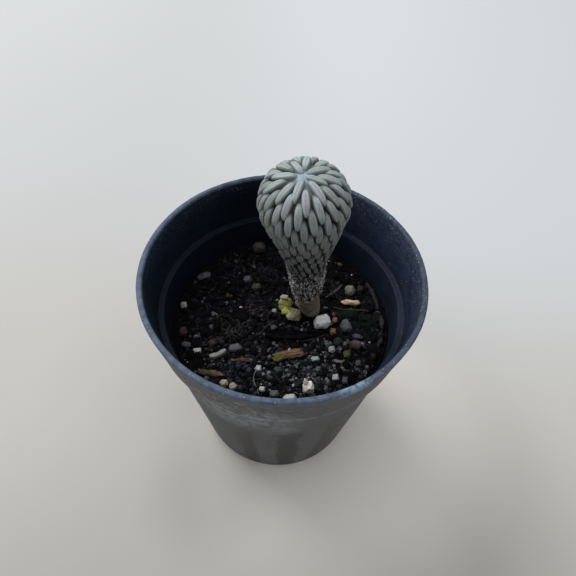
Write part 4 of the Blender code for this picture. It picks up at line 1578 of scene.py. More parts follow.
@dataclass
class Pot:
    """The nursery pot: body, step, collar, lip and inner ledge."""

    paint: Paint
    finish: PlasticFinish = field(default_factory=PlasticFinish)
    lip_width: float = 1.56
    collar_bottom: float = 55.4
    collar_bottom_radius: float = 34.64
    ledge: float = 56.4
    ledge_outer_radius: float = 33.56
    body_top_radius: float = 33.48
    body_inner_top_radius: float = 31.95
    base_radius: float = 24.2
    floor: float = 1.6
    floor_inner_radius: float = 22.8
    corner_round: float = 0.28
    drain_radius: float = 2.0
    drain_ring: float = 13.0
    drains: int = 4
    around: int = 240
    wobble: float = 0.16
    nicks: float = 0.07
    lip_drops: float = 0.12

    def outline(self) -> Pairs:
        """Works out the pot's outline, from its underside to its inner floor.

        Returns:
            Its corners as radius and height.
        """
        low, high = box_mm("pot")
        rim, top = high.x, high.z
        corners = (
            (self.base_radius - 1.3, low.z), (self.base_radius - 0.3, 0.45), (self.base_radius + 0.15, 2.2),
            (28.8, 28.0), (self.body_top_radius, self.collar_bottom - 0.05),
            (self.collar_bottom_radius, self.collar_bottom - 0.05),
            (35.7, 61.0), (rim - 0.05, top - 0.9), (rim, top - 0.35), (rim - 0.45, top),
            (rim - self.lip_width + 0.3, top), (rim - self.lip_width, top - 0.45), (34.8, 63.5),
            (self.ledge_outer_radius, self.ledge), (self.body_inner_top_radius, self.ledge - 0.05),
            (28.9, 38.0), (self.floor_inner_radius, self.floor),
        )
        return filleted(corners, self.corner_round)

    def ring(self, radius: float, z: float) -> list[Triple]:
        """Builds one ring of the wall, a little out of round and nicked near the lip.

        Args:
            radius: its radius.
            z: its height.

        Returns:
            Its points.
        """
        points = []
        high = min(max((z - 20.0) / 50.0, 0.0), 1.0)
        for i in range(self.around):
            angle = math.tau * i / self.around
            broad = Vector(on_ring(2.2, angle, z * 0.05))
            fine = Vector(on_ring(24.0, angle, z * 0.7))
            shift = noise.noise(broad) * self.wobble * high - abs(noise.noise(fine)) * self.nicks * (z > 66.0)
            drop = abs(noise.noise(fine + Vector((5, 5, 5)))) * self.lip_drops * (z > 69.0)
            points.append(on_ring(radius + shift - 0.08 * high, angle, z - drop))
        return points

    def build(self) -> None:
        """Builds and dresses the pot."""
        outline = self.outline()
        points = [point for radius, z in outline for point in self.ring(radius, z)]
        shape = (points, tube_faces(len(outline), self.around))
        pot = new_piece("nursery_pot", shape, self.paint.plastic(self.finish))
        for i in range(self.drains):
            self.drain(pot, math.tau * (i + 0.5) / self.drains)
        self.mark_outside(pot)
        pot.data.shade_smooth()
        pot.data.set_sharp_from_angle(angle=math.radians(50))
        fasten(pot, ["pot"])

    def mark_outside(self, pot: bpy.types.Object) -> None:
        """Stores 1 on the points of the pot's outside and 0 on the inside ones.

        Args:
            pot: the pot.
        """
        x, y, z = (triples(pot.data, "co") / MM).T
        heights = (self.floor / 2, self.ledge - 0.5, self.ledge - 0.4, 70.0)
        walls = (
            (self.base_radius + self.floor_inner_radius) / 2,
            (self.body_top_radius + self.body_inner_top_radius) / 2,
            (self.collar_bottom_radius + self.ledge_outer_radius) / 2,
            box_mm("pot")[1].x - self.lip_width / 2,
        )
        stored(pot.data, "outer", (np.hypot(x, y) > np.interp(z, heights, walls)) | (z < self.floor / 2))

    def drain(self, pot: bpy.types.Object, angle: float) -> None:
        """Cuts one drain hole through the floor.

        Args:
            pot: the pot.
            angle: where the hole is about the pot's axis.
        """
        hole = bmesh.new()
        size = {"radius1": self.drain_radius * MM, "radius2": self.drain_radius * MM, "depth": 10 * MM}
        bmesh.ops.create_cone(hole, cap_ends=True, segments=32, **size)
        mesh = bpy.data.meshes.new("drain_cutter")
        hole.to_mesh(mesh)
        hole.free()
        cutter = linked("drain_cutter", mesh)
        cutter.location = Vector(on_ring(self.drain_ring, angle)) * MM
        cut = pot.modifiers.new("cut", "BOOLEAN")
        cut.operation = "DIFFERENCE"
        cut.object = cutter
        made = bpy.data.meshes.new_from_object(pot.evaluated_get(bpy.context.evaluated_depsgraph_get()))
        pot.modifiers.clear()
        pot.data = made
        bpy.data.objects.remove(cutter)


# The potting mix


@dataclass(frozen=True)
class Grain:
    """One kind of small grain that lies on the potting mix."""

    name: str
    slot: str
    count: int
    smallest: float
    largest: float
    dark: Color
    light: Color
    light_share: float = 0.6
    front: float = 0.0
    flatness: float = 0.75
    detail: int = 2
    middle: tuple[float, float] = (0.0, 0.0)
    spread: float = 0.0


@dataclass(frozen=True)
class Strand:
    """One kind of thread, root or splinter that lies on the potting mix."""

    name: str
    slot: str
    count: int
    shortest: float
    longest: float
    radius: float
    dark: Color
    light: Color
    curl: float = 0.5
    flatness: float = 1.0
    middle: tuple[float, float] = (0.0, 0.0)
    spread: float = 28.0
    heading_degrees: float | None = None
    on: str = ""


GRAINS = (
    Grain(
        "peat_crumbs", "potting_mix", 3600, 0.35, 1.6, (0.0035, 0.0035, 0.0040), (0.026, 0.025, 0.028),
        light_share=0.5, flatness=0.7, detail=1,
    ),
    Grain(
        "peat_chunks", "potting_mix", 640, 1.2, 3.4, (0.0030, 0.0030, 0.0036), (0.019, 0.018, 0.021),
        light_share=0.4, flatness=0.7,
    ),
    Grain(
        "bark_flakes", "dark_bark", 330, 1.4, 4.2, (0.0065, 0.0055, 0.0070), (0.038, 0.032, 0.037),
        light_share=0.5, flatness=0.25,
    ),
    Grain("dark_grit", "dark_stone", 500, 0.6, 2.2, (0.012, 0.014, 0.016), (0.052, 0.055, 0.057), front=0.85),
    Grain("grey_grit", "grey_stone", 330, 0.45, 1.7, (0.085, 0.088, 0.095), (0.24, 0.24, 0.25), front=0.82),
    Grain("pale_grit", "pale_stone", 60, 0.4, 1.2, (0.30, 0.295, 0.285), (0.50, 0.49, 0.475), 0.8, front=0.9),
    Grain(
        "tan_grit", "brown_stone", 60, 0.4, 1.3, (0.11, 0.075, 0.050), (0.22, 0.15, 0.10),
        front=0.6, flatness=0.7,
    ),
    Grain(
        "dark_sand", "dark_stone", 620, 0.7, 2.0, (0.020, 0.022, 0.025), (0.085, 0.088, 0.092),
        middle=(10.0, -16.5), spread=8.0,
    ),
    Grain(
        "grey_sand", "grey_stone", 520, 0.5, 1.7, (0.11, 0.115, 0.12), (0.36, 0.36, 0.365),
        middle=(9.5, -17.0), spread=7.5,
    ),
    Grain(
        "pale_sand", "pale_stone", 110, 0.4, 1.4, (0.30, 0.295, 0.29), (0.52, 0.515, 0.50), 0.7,
        middle=(9.5, -16.5), spread=7.5,
    ),
    Grain(
        "blue_sand", "dark_stone", 240, 0.7, 1.9, (0.022, 0.027, 0.038), (0.065, 0.075, 0.100),
        middle=(-10.5, -17.5), spread=4.0,
    ),
    Grain(
        "green_flakes", "dark_stone", 40, 1.8, 4.4, (0.0050, 0.0085, 0.0072), (0.014, 0.021, 0.018), 0.5,
        flatness=0.32, middle=(22.6, -0.6), spread=3.0,
    ),
)

STRANDS = (
    Strand("peat_fibres", "twig", 320, 1.2, 5.0, 0.10, (0.012, 0.010, 0.010), (0.055, 0.045, 0.040)),
    Strand(
        "bark_splinters", "dark_bark", 210, 2.0, 7.5, 0.46, (0.0060, 0.0052, 0.0070), (0.038, 0.032, 0.041),
        0.10, 0.35,
    ),
    Strand(
        "worn_splinters", "dark_bark", 70, 1.8, 5.0, 0.34, (0.022, 0.018, 0.022), (0.090, 0.075, 0.085),
        0.12, 0.4,
    ),
    Strand(
        "dry_tangle", "twig", 64, 1.4, 4.6, 0.24, (0.026, 0.027, 0.019), (0.080, 0.078, 0.060),
        0.34, 0.45, (-15.5, -4.5), 4.0,
    ),
    Strand(
        "dry_tangle_back", "twig", 36, 1.8, 5.0, 0.24, (0.022, 0.025, 0.020), (0.058, 0.062, 0.052),
        0.30, 0.45, (-10.5, 17.0), 5.5,
    ),
    Strand(
        "fibrous_bundle", "dark_bark", 70, 2.4, 6.0, 0.46, (0.010, 0.008, 0.010), (0.120, 0.096, 0.120),
        0.10, 0.4, (-7.6, 1.6), 4.2, 22.0, "dark_bark_slab",
    ),
    Strand(
        "dry_tangle_right", "twig", 22, 1.6, 4.2, 0.34, (0.020, 0.022, 0.013), (0.062, 0.062, 0.040),
        0.26, 0.5, (14.2, 13.4), 2.7,
    ),
)


@dataclass
class PottingMix:
    """The peat bed with its crumbs, grit, flakes and root threads."""

    paint: Paint
    level: float = 48.2
    unevenness: float = 0.55
    lump_size: float = 5.5
    rings: int = 130
    around: int = 280
    foot: Vector = field(default_factory=lambda: Vector((8.7, 3.6, 48.0)))
    hole_radius: float = 2.3
    under_radius: float = 22.5
    grain_edge: float = 30.1
    grain_clear: float = 3.6
    strand_edge: float = 29.8
    strand_clear: float = 4.3
    lumps: tuple[Triple, ...] = ((2.6, 0.60, 0.0), (1.1, 0.42, 4.0), (0.5, 0.16, 0.0))
    grain_seed: int = 31
    strand_seed: int = 51

    def top(self, x: float, y: float) -> float:
        """Works out the bed's height, broad as the solid has it and with its small lumps.

        Args:
            x: the place to the right.
            y: the place to the back.

        Returns:
            The height.
        """
        here = Vector((x, y, 0.0))
        place = here / self.lump_size
        broad = noise.noise(place * 0.4 + Vector((3.1, 7.7, 1.3)))
        fine = noise.noise(place + Vector((9.2, 1.4, 5.0)))
        height = self.level + self.unevenness * (0.9 * broad + 0.7 * fine) + 0.05
        for wave, depth, shift in self.lumps:
            height += noise.noise(here / wave + Vector((shift, shift, shift))) * depth
        return height

    def from_foot(self, x: float, y: float) -> float:
        """Returns how far a place is from the plant's foot."""
        return math.hypot(x - self.foot.x, y - self.foot.y)

    def bed(self) -> None:
        """Builds the plug of peat with its uneven top and the hole for the root."""
        low, high = box_mm("potting_mix")
        turns = [math.tau * i / self.around for i in range(self.around)]
        points: list[Triple] = []
        for ring in range(self.rings):
            share = (ring / (self.rings - 1)) ** 0.9
            for angle in turns:
                hole, edge = on_ring(self.hole_radius, angle), on_ring(high.x, angle)
                x = (self.foot.x + hole[0]) * (1 - share) + edge[0] * share
                y = (self.foot.y + hole[1]) * (1 - share) + edge[1] * share
                points.append((x, y, self.top(x, y)))
        points += [on_ring(self.under_radius, angle, low.z) for angle in turns]
        look = self.paint.peat("peat_bed", (0.0034, 0.0032, 0.0035), (0.014, 0.0125, 0.013), 0.35)
        shape = (points, tube_faces(self.rings + 1, self.around))
        fasten(new_piece("peat_bed", shape, look), ["potting_mix"])

    def places(self, grain: Grain, seed: int) -> np.ndarray:
        """Draws a place on the bed for each grain of one kind.

        Args:
            grain: the kind of grain.
            seed: starts the draw.

        Returns:
            Their x, y and height.
        """
        draw = random.Random(seed)
        edge = self.grain_edge - 0.5 * grain.largest
        found = []
        while len(found) < grain.count:
            x, y = draw.uniform(-edge, edge), draw.uniform(-edge, edge)
            if grain.spread:
                x, y = draw.gauss(grain.middle[0], grain.spread), draw.gauss(grain.middle[1], grain.spread)
            if math.hypot(x, y) > edge or self.from_foot(x, y) < self.grain_clear:
                continue
            if draw.random() < grain.front * min(max((y + 8.0 - 0.3 * x) / 12.0, 0.0), 0.93):
                continue
            found.append((x, y, self.top(x, y)))
        return np.array(found)

    def strew(self, grain: Grain, seed: int) -> None:
        """Strews one kind of grain over the bed.

        Args:
            grain: the kind of grain.
            seed: starts the draws.
        """
        places = self.places(grain, seed)
        draw = np.random.default_rng(seed)
        size = grain.smallest + (grain.largest - grain.smallest) * draw.random(grain.count) ** 2.4
        places[:, 2] += size * grain.flatness * 0.10
        shape = strewn(places, size, seed, grain.flatness, grain.detail)
        look = self.paint.peat(grain.name, grain.dark, grain.light, grain.light_share)
        fasten(new_piece(grain.name, shape, look, smooth=False))

    def path(self, strand: Strand, draw: random.Random, under: TopOf | None) -> np.ndarray:
        """Draws the path of one thread over the bed.

        Args:
            strand: the kind of thread.
            draw: makes the random draws.
            under: what it lies on besides the bed.

        Returns:
            The points along it.
        """
        x = strand.middle[0] + draw.uniform(-1.0, 1.0) * strand.spread
        y = strand.middle[1] + draw.uniform(-1.0, 1.0) * strand.spread
        heading = draw.uniform(0, math.tau)
        if strand.heading_degrees is not None:
            heading = math.radians(strand.heading_degrees) + draw.gauss(0.0, 0.28)
        length, curl = draw.uniform(strand.shortest, strand.longest), draw.uniform(-1.0, 1.0) * strand.curl
        lift = draw.uniform(0.1, 0.9) * (0.4 + 0.12 * length) * 0.5
        points = []
        for i in range(8):
            ground = max(self.top(x, y), under.height(x, y)) if under else self.top(x, y)
            points.append((x, y, ground + strand.radius * 0.6 + lift * math.sin(math.pi * i / 7)))
            heading += curl + draw.uniform(-0.5, 0.5) * strand.curl
            x += math.cos(heading) * length / 7
            y += math.sin(heading) * length / 7
        return np.array(points)

    def lay(self, strand: Strand, seed: int) -> None:
        """Lays one kind of thread over the bed.

        Args:
            strand: the kind of thread.
            seed: starts the draws.
        """
        draw = random.Random(seed)
        under = TopOf(strand.on) if strand.on else None
        paths, radii = [], []
        while len(paths) < strand.count:
            path = self.path(strand, draw, under)
            clear = min(self.from_foot(x, y) for x, y, _ in path) > self.strand_clear
            if clear and max(math.hypot(x, y) for x, y, _ in path) < self.strand_edge:
                paths.append(path)
                radii.append(strand.radius * draw.uniform(0.5, 1.2))
        look = self.paint.peat(strand.name, strand.dark, strand.light, 0.5)
        fasten(new_piece(strand.name, threads(paths, radii, 6, strand.flatness), look))

    def build(self) -> None:
        """Builds the bed and everything fine that lies on it."""
        self.bed()
        for seed, grain in enumerate(GRAINS, self.grain_seed):
            self.strew(grain, seed)
        for seed, strand in enumerate(STRANDS, self.strand_seed):
            self.lay(strand, seed)


# Stones, bark and moss


WHITE = StoneFinish("pale_stone", (0.86, 0.86, 0.84), (0.76, 0.75, 0.72), Rock.SMOOTH, 0.12, glow=0.5)
PALE = StoneFinish("pale_stone", (0.50, 0.50, 0.49), (0.42, 0.41, 0.39), Rock.WORN, 0.2, glow=0.3)
CRYSTAL = StoneFinish("cream_stone", (0.88, 0.82, 0.74), (0.72, 0.61, 0.50), Rock.BROKEN, 0.2, glow=0.3)
CREAM = StoneFinish("cream_stone", (0.45, 0.40, 0.34), (0.30, 0.255, 0.205), Rock.BROKEN)
BONE = StoneFinish("pale_stone", (0.30, 0.295, 0.265), (0.235, 0.225, 0.195), Rock.SMOOTH, 0.3, waist=0.25)
DULL_WHITE = StoneFinish("pale_stone", (0.30, 0.29, 0.26), (0.22, 0.21, 0.18), Rock.WORN)
OBLONG = StoneFinish("pale_stone", (0.44, 0.46, 0.43), (0.34, 0.35, 0.32), Rock.WORN, 0.3)
GREY = StoneFinish("grey_stone", (0.105, 0.107, 0.108), (0.058, 0.060, 0.062), Rock.BROKEN)
# Darkened to paint the shade that the pot's wall casts on the stones at the back.
SHADED_GREY = StoneFinish("grey_stone", (0.085, 0.087, 0.098), (0.050, 0.050, 0.058), Rock.WORN)
GREEN = StoneFinish("green_grey_stone", (0.175, 0.180, 0.140), (0.115, 0.12, 0.095), Rock.WORN)
COOL_GREEN = StoneFinish("green_grey_stone", (0.108, 0.122, 0.120), (0.070, 0.080, 0.080), Rock.WORN)
DARK = StoneFinish("dark_stone", (0.0045, 0.0075, 0.0062), (0.0095, 0.0130, 0.0112), Rock.BROKEN, gloss=0.07)
SLATE = StoneFinish("dark_stone", (0.026, 0.038, 0.036), (0.050, 0.062, 0.058), Rock.WORN)
GREY_SLATE = StoneFinish("grey_stone", (0.036, 0.048, 0.046), (0.060, 0.072, 0.068), Rock.WORN)
OLIVE = StoneFinish("olive_stone", (0.125, 0.115, 0.052), (0.070, 0.065, 0.033), Rock.WORN)
# Darkened to paint the shade that the pot's wall casts on the stones at the back.
SHADED_OLIVE = StoneFinish("olive_stone", (0.045, 0.048, 0.026), (0.026, 0.029, 0.017), Rock.WORN)
BROWN = StoneFinish("brown_stone", (0.050, 0.036, 0.031), (0.025, 0.020, 0.018), Rock.BROKEN)
RUST = StoneFinish("orange_stone", (0.080, 0.038, 0.018), (0.046, 0.027, 0.018), Rock.BROKEN)
ORANGE = StoneFinish("orange_stone", (0.27, 0.155, 0.080), (0.16, 0.105, 0.070), Rock.BROKEN)
# Darkened to paint the shade that the pot's wall casts on the stones at the back.
SHADED_PINK = StoneFinish("pink_stone", (0.060, 0.043, 0.042), (0.038, 0.030, 0.029), Rock.WORN)
RED_BROWN = StoneFinish("red_brown_stone", (0.090, 0.054, 0.052), (0.155, 0.11, 0.105), Rock.BROKEN)
PURPLE = StoneFinish("purple_stone", (0.068, 0.066, 0.088), (0.105, 0.100, 0.120), Rock.WORN)
PERLITE = StoneFinish("perlite", (0.46, 0.46, 0.465), (0.38, 0.38, 0.385), Rock.SMOOTH)

STONES: dict[str, StoneFinish] = {
    "white_pebble": WHITE, "pink_stone_back": SHADED_PINK, "grey_flake_back": SHADED_GREY,
    "grey_stone_mid_back": SHADED_GREY, "olive_stone_mid_back": SHADED_OLIVE,
    "cream_stone_far_left": CREAM, "brown_stone_left": BROWN,
    "grey_chip_left": SHADED_GREY, "white_chip_left": PALE, "orange_stone_left": RUST, "grey_chunk_left": GREY,
    "cream_stone_left_a": CREAM, "cream_stone_left_b": CREAM, "white_stone_front": PALE,
    "grey_stone_front": COOL_GREEN, "cream_crystal": CRYSTAL, "grey_stone_mid": GREY_SLATE,
    "white_grain_mid": PALE, "white_grain_front": PALE, "round_green_stone": GREEN, "dark_slab": DARK,
    "grey_slab": DARK,
    "grey_green_stone": COOL_GREEN, "orange_stone_upper": ORANGE, "orange_stone_lower": ORANGE,
    "green_stone_low": SLATE, "purple_flake": PURPLE, "red_brown_stone": RED_BROWN, "olive_bead": OLIVE,
    "perlite_ball": PERLITE, "pale_oblong_pebble": OBLONG, "grey_grain_right": GREY,
    "white_stone_right": PALE, "grey_stone_right": GREY, "grey_grain_mid": GREY, "bone_pebble": BONE,
    "cream_flake": CREAM, "white_stone_by_moss": DULL_WHITE,
}

BROWN_BARK = BarkFinish(
    "brown_bark", (0.215, 0.120, 0.066), (0.080, 0.049, 0.029), (0.095, 0.092, 0.033), torn=0.34, blunt=1.0
)
RED_BARK = BarkFinish("red_bark", (0.120, 0.060, 0.036), (0.062, 0.038, 0.027), torn=0.4, blunt=0.6)
OLIVE_BARK = BarkFinish(
    "olive_bark", (0.165, 0.092, 0.055), (0.085, 0.060, 0.036), (0.030, 0.034, 0.015), left_share=0.55
)
ORANGE_BARK = BarkFinish("orange_bark", (0.74, 0.53, 0.32), (0.50, 0.34, 0.20), blunt=0.7)
TAN_BARK = BarkFinish("orange_bark", (0.26, 0.185, 0.125), (0.14, 0.105, 0.075), torn=0.4)
DARK_BARK = BarkFinish("dark_bark", (0.008, 0.0065, 0.009), (0.028, 0.023, 0.028), torn=0.35)
FIBRE_BARK = BarkFinish("dark_bark", (0.0095, 0.0076, 0.0100), (0.026, 0.019, 0.025), torn=0.7)
BLACK_BARK = BarkFinish("dark_bark", (0.0014, 0.0013, 0.0026), (0.0030, 0.0028, 0.0044), torn=0.3, gloss=0.05)
TWIG = BarkFinish("twig", (0.024, 0.021, 0.022), (0.048, 0.042, 0.042))

BARKS: dict[str, BarkFinish] = {
    "bark_chip_front": BROWN_BARK, "bark_sliver_front": RED_BARK, "bark_piece_left": OLIVE_BARK,
    "orange_bark_chip": ORANGE_BARK, "bark_sliver_right": TAN_BARK, "bark_block_right": DARK_BARK,
    "dark_bark_slab": FIBRE_BARK, "dark_bark_blade": BLACK_BARK,
    "bark_strip_wall_back": DARK_BARK, "bark_strip_wall_middle": DARK_BARK,
    "bark_strip_wall_front": DARK_BARK, "twig": TWIG,
}

ODD_GRAINS: dict[StoneFinish, tuple[Triple, ...]] = {
    GREY: ((-16.3, 11.8, 1.5), (-19.2, -3.9, 2.2), (-2.0, -3.3, 2.0), (-18.6, 0.4, 1.4)),
    OLIVE: ((18.1, -15.6, 1.3),),
    RUST: ((-16.0, 7.4, 1.9), (-15.2, 7.3, 1.4)),
}


@dataclass(frozen=True)
class RootThread:
    """One thin thread that shows at a known place on the potting mix."""

    name: str
    corners: Pairs
    radius: float
    raised: float
    dark: Color
    light: Color


ROOT_THREADS = (
    RootThread(
        "pale_rootlet", ((-5.0, -16.6), (-6.2, -18.4), (-6.3, -20.6), (-5.2, -22.4), (-4.6, -24.4)),
        0.15, 1.0, (0.15, 0.13, 0.115), (0.26, 0.235, 0.21),
    ),
    RootThread(
        "olive_strip", ((14.9, 5.2), (18.2, 4.8), (22.0, 4.7), (25.1, 4.6)), 0.34, 0.75,
        (0.034, 0.030, 0.018), (0.075, 0.066, 0.040),
    ),
    # A pale thread along the dark blade's edge: a painted highlight.
    RootThread(
        "blade_edge_highlight", ((5.0, -7.2), (7.4, -6.8), (9.8, -6.0), (11.8, -5.0), (13.2, -4.1)), 0.17, 0.7,
        (0.075, 0.068, 0.064), (0.150, 0.138, 0.125),
    ),
)


@dataclass
class LoosePieces:
    """The stones, bark and moss that lie on the potting mix."""

    paint: Paint
    mix: PottingMix
    faces_across: float = 22.0
    moss_finish: MossFinish = field(default_factory=MossFinish)
    moss_leaves: int = 900
    moss_lobes: tuple[tuple[float, float, float, float], ...] = (
        (0.6, 3.9, 51.9, 1.45), (0.1, 4.1, 51.1, 1.3), (1.5, 3.8, 51.3, 1.25), (0.4, 3.0, 50.6, 1.45),
        (1.2, 1.8, 50.3, 1.5), (2.3, 1.1, 50.2, 1.45), (2.9, 0.3, 49.9, 1.6), (3.7, 0.9, 49.9, 1.4),
        (2.2, 0.0, 49.7, 1.2), (3.9, -0.1, 49.6, 1.2),
    )
    moss_voxel: float = 0.13
    moss_relief: Pairs = ((1.5, 0.34), (0.6, 0.24), (0.28, 0.12))
    thread_steps: int = 24
    leaf_seed: int = 41
    odd_seed: int = 61

    def stone(self, node: str, finish: StoneFinish, seed: int) -> None:
        """Builds one stone over its solid.

        Args:
            node: the solid's name.
            finish: its look.
            seed: moves its noise.
        """
        low, high = box_mm(node)
        size = max(high - low)
        depth = finish.surface.value * size
        layers = ((size * 0.34, depth), (size * 0.10, depth * 0.35))
        points, faces = finer_solid(node, size / self.faces_across, layers, seed * 3.7)
        if finish.waist:
            points = self.waisted(points, finish.waist)
        look = self.paint.stone(node, finish)
        fasten(new_piece(f"{node}_rock", (points, faces), look), [node])

    @staticmethod
    def waisted(points: np.ndarray, share: float) -> np.ndarray:
        """Draws a long stone in at its middle.

        Args:
            points: its points.
            share: how much thinner its middle gets.

        Returns:
            The moved points.
        """
        middle = points.mean(0)
        spread = points - middle
        along = long_axis(points)
        run = spread @ along
        narrow = 1.0 - share * np.exp(-((run / (0.42 * np.abs(run).max())) ** 2))
        core = np.outer(run, along)
        drop = np.array([0.0, 0.0, points[:, 2].min() - middle[2]])
        return middle + core + (spread - core - drop) * narrow[:, None] + drop

    def bark(self, node: str, finish: BarkFinish, seed: int) -> None:
        """Builds one piece of bark over its solid.

        Args:
            node: the solid's name.
            finish: its look.
            seed: moves its noise.
        """
        solid = np.array([v.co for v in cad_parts[node].data.vertices])[:, :2]
        along = Vector(long_axis(solid)).normalized()
        box = box_mm(node)
        thin = min(box[1] - box[0])
        points, faces = finer_solid(node, max(thin / 6.0, 0.13), ((thin * 1.1, 0.16 * thin),), seed * 5.1)
        forward, sideways = np.array((along.x, along.y, 0.0)), np.array((-along.y, along.x, 0.0))
        middle = points.mean(0)
        run, across = (points - middle) @ forward, (points - middle) @ sideways
        threaded, pulled = [], []
        for r, a, z in zip(run, across, points[:, 2]):
            grooves = abs(noise.noise(Vector((r * 0.22, a * 1.7, z * 1.7 + seed))))
            fibres = noise.noise(Vector((r * 0.5, a * 4.0, z * 4.0 + seed)))
            threaded.append(0.25 - 1.5 * grooves + 0.5 * fibres)
            pulled.append(noise.noise(Vector((3.0 * seed, a * 1.9, z * 1.9))))
        far = np.abs(run) / np.abs(run).max()
        points = points + np.outer(np.sign(run) * far**4 * np.array(pulled) * 1.3 * thin, forward)
        points = points + np.outer(across * finish.blunt * far**3, sideways)
        outward = points - middle
        outward -= np.outer(outward @ forward, forward)
        outward /= np.maximum(np.linalg.norm(outward, axis=1), 1e-6)[:, None]
        points = points + outward * (np.array(threaded) * finish.torn * thin)[:, None]
        look = self.paint.bark(node, finish, along)
        fasten(new_piece(f"{node}_wood", (fitted(points, box), faces), look), [node])

    def moss(self) -> None:
        """Builds the moss tuft: rounded lobes under a nap of tiny leaves."""
        lobes = bmesh.new()
        for *place, radius in self.moss_lobes:
            matrix = Matrix.Translation(Vector(place) * MM)
            bmesh.ops.create_icosphere(lobes, subdivisions=3, radius=radius * MM, matrix=matrix)
        mesh = bpy.data.meshes.new("moss_lobes")
        lobes.to_mesh(mesh)
        lobes.free()
        points, faces = finer(mesh, box_mm("moss_tuft"), self.moss_voxel, self.moss_relief, 2.2)
        look = self.paint.moss(self.moss_finish)
        fasten(new_piece("moss_cushion", (points, faces), look), ["moss_tuft"])
        draw = np.random.default_rng(self.leaf_seed)
        chosen = points[draw.integers(0, len(points), self.moss_leaves)]
        chosen = chosen[chosen[:, 2] > points[:, 2].mean() - 1.1]
        leaves = strewn(chosen, draw.uniform(0.18, 0.40, len(chosen)), self.leaf_seed + 1, 0.9)
        fasten(new_piece("moss_leaves", leaves, look))

    def spike(self) -> None:
        """Builds the pointed crystal that stands on the cream stone."""
        low, high = box_mm("cream_crystal")
        foot = Vector(((low.x + high.x) / 2 - 0.5, (low.y + high.y) / 2 + 0.3, high.z - 1.3))
        path = np.array([foot + Vector((-0.15, 0.15, 0.62)) * i for i in range(5)])
        points, faces = threads([path], [0.75], 6)
        taper = np.repeat(np.linspace(1.5, 0.35, 5), 6)[:, None]
        middle = np.repeat(path, 6, axis=0)
        look = self.paint.stone("crystal_spike", CRYSTAL)
        shape = (middle + (points - middle) * taper, faces)
        fasten(new_piece("crystal_spike", shape, look, smooth=False))

    def odd_grains(self, finish: StoneFinish, spots: Sequence[Triple], seed: int) -> None:
        """Builds the single grains of one kind that show at known places.

        Args:
            finish: their look.
            spots: the place on the ground and the size of each.
            seed: starts the draws.
        """
        places = np.array([(x, y, self.mix.top(x, y) + 0.25 * size) for x, y, size in spots])
        shape = strewn(places, np.array(spots)[:, 2], seed, 0.8, 2)
        look = self.paint.stone(f"odd_{finish.slot}", finish)
        fasten(new_piece(f"odd_{finish.slot}", shape, look, smooth=False))

    def root_thread(self, thread: RootThread) -> None:
        """Builds one thin curved thread at a known place.

        Args:
            thread: its path and look.
        """
        corners = [Vector(p) for p in thread.corners]
        path = []
        for share in np.linspace(0.0, len(corners) - 1, self.thread_steps):
            k = min(int(share), len(corners) - 2)
            x, y = corners[k].lerp(corners[k + 1], share - k)
            path.append((x, y, self.mix.top(x, y) + thread.raised))
        smooth = np.array(path)
        for _ in range(4):
            smooth[1:-1] = (smooth[:-2] + 2 * smooth[1:-1] + smooth[2:]) / 4
        look = self.paint.peat(thread.name, thread.dark, thread.light, 0.6)
        fasten(new_piece(thread.name, threads([smooth], [thread.radius], 7), look))

    def build(self) -> None:
        """Builds every loose piece."""
        for seed, (node, finish) in enumerate(STONES.items(), 1):
            self.stone(node, finish, seed)
        for seed, (node, finish) in enumerate(BARKS.items(), 1):
            self.bark(node, finish, seed)
        self.moss()
        self.spike()
        for seed, (finish, spots) in enumerate(ODD_GRAINS.items(), self.odd_seed):
            self.odd_grains(finish, spots, seed)
        for thread in ROOT_THREADS:
            self.root_thread(thread)


# The studio


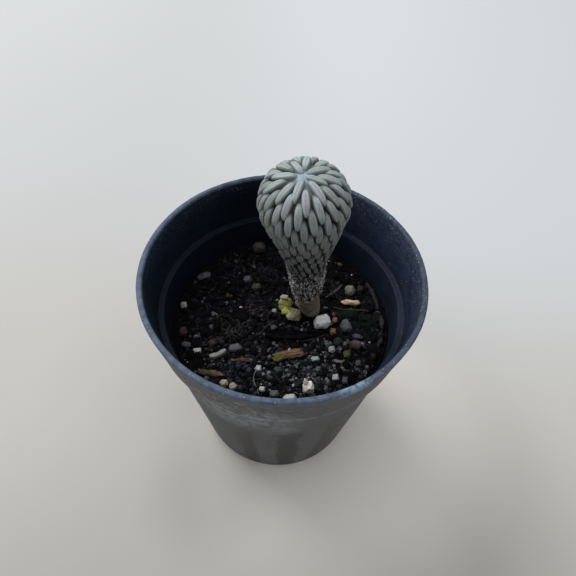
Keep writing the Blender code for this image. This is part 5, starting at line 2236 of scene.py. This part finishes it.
@dataclass
class Studio:
    """The floor, the lights and the camera."""

    paint: Paint
    floor_finish: FloorFinish = field(default_factory=FloorFinish)
    floor_half: float = 2500.0
    camera_place: Vector = field(default_factory=lambda: Vector((1.449, -98.517, 190.627)))
    pitch_degrees: float = 37.747
    roll_degrees: float = 3.268
    lens: float = 37.85
    aim: Vector = field(default_factory=lambda: Vector((0.0, 0.0, 60.0)))
    world_color: Color = (0.86, 0.90, 0.95)
    world_strength: float = 0.50

    def lamp(self, name: str, place: Triple, size: float, power: float, color: Color) -> None:
        """Adds a soft lamp that points at the plant.

        Args:
            name: its name.
            place: where it hangs.
            size: its width.
            power: its power in watts.
            color: its colour.
        """
        light = bpy.data.lights.new(name, "AREA")
        light.shape = "DISK"
        light.size = size * MM
        light.energy = power
        light.color = color
        lamp = linked(name, light)
        lamp.location = Vector(place) * MM
        lamp.rotation_euler = (self.aim - Vector(place)).to_track_quat("-Z", "Y").to_euler()

    def camera(self) -> None:
        """Sets the camera to the photograph's view."""
        lens = bpy.data.cameras.new("camera")
        lens.lens = self.lens
        lens.sensor_width = 36.0
        lens.clip_start = 0.01
        camera = linked("camera", lens)
        camera.location = self.camera_place * MM
        camera.rotation_mode = "ZYX"
        camera.rotation_euler = (math.radians(self.pitch_degrees), 0.0, math.radians(self.roll_degrees))
        bpy.context.scene.camera = camera

    def build(self) -> None:
        """Builds the studio."""
        half = self.floor_half
        corners = [(-half, -half, 0.0), (half, -half, 0.0), (half, half, 0.0), (-half, half, 0.0)]
        look = self.paint.floor(self.floor_finish)
        floor = new_piece("studio_floor", (corners, [(0, 1, 2, 3)]), look, smooth=False)
        self.lamp("window", (-500.0, 470.0, 700.0), 600.0, 5.35, (1.0, 0.995, 0.98))
        self.lamp("ceiling", (-50.0, 200.0, 1100.0), 1800.0, 4.5, (0.97, 0.985, 1.0))
        world = bpy.data.worlds.new("studio")
        world.use_nodes = True
        back = world.node_tree.nodes["Background"]
        back.inputs["Color"].default_value = (*self.world_color, 1.0)
        back.inputs["Strength"].default_value = self.world_strength
        bpy.context.scene.world = world
        bpy.context.scene.view_settings.view_transform = "Standard"
        self.camera()


def main() -> None:
    """Builds the part's looks and the studio."""
    logging.basicConfig(level=logging.INFO, format="%(message)s")
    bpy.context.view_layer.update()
    paint = Paint()
    Studio(paint).build()
    Pot(paint).build()
    Cactus(paint).build()
    mix = PottingMix(paint)
    mix.build()
    LoosePieces(paint, mix).build()
    bpy.context.view_layer.update()


if __name__ == "__main__":
    main()
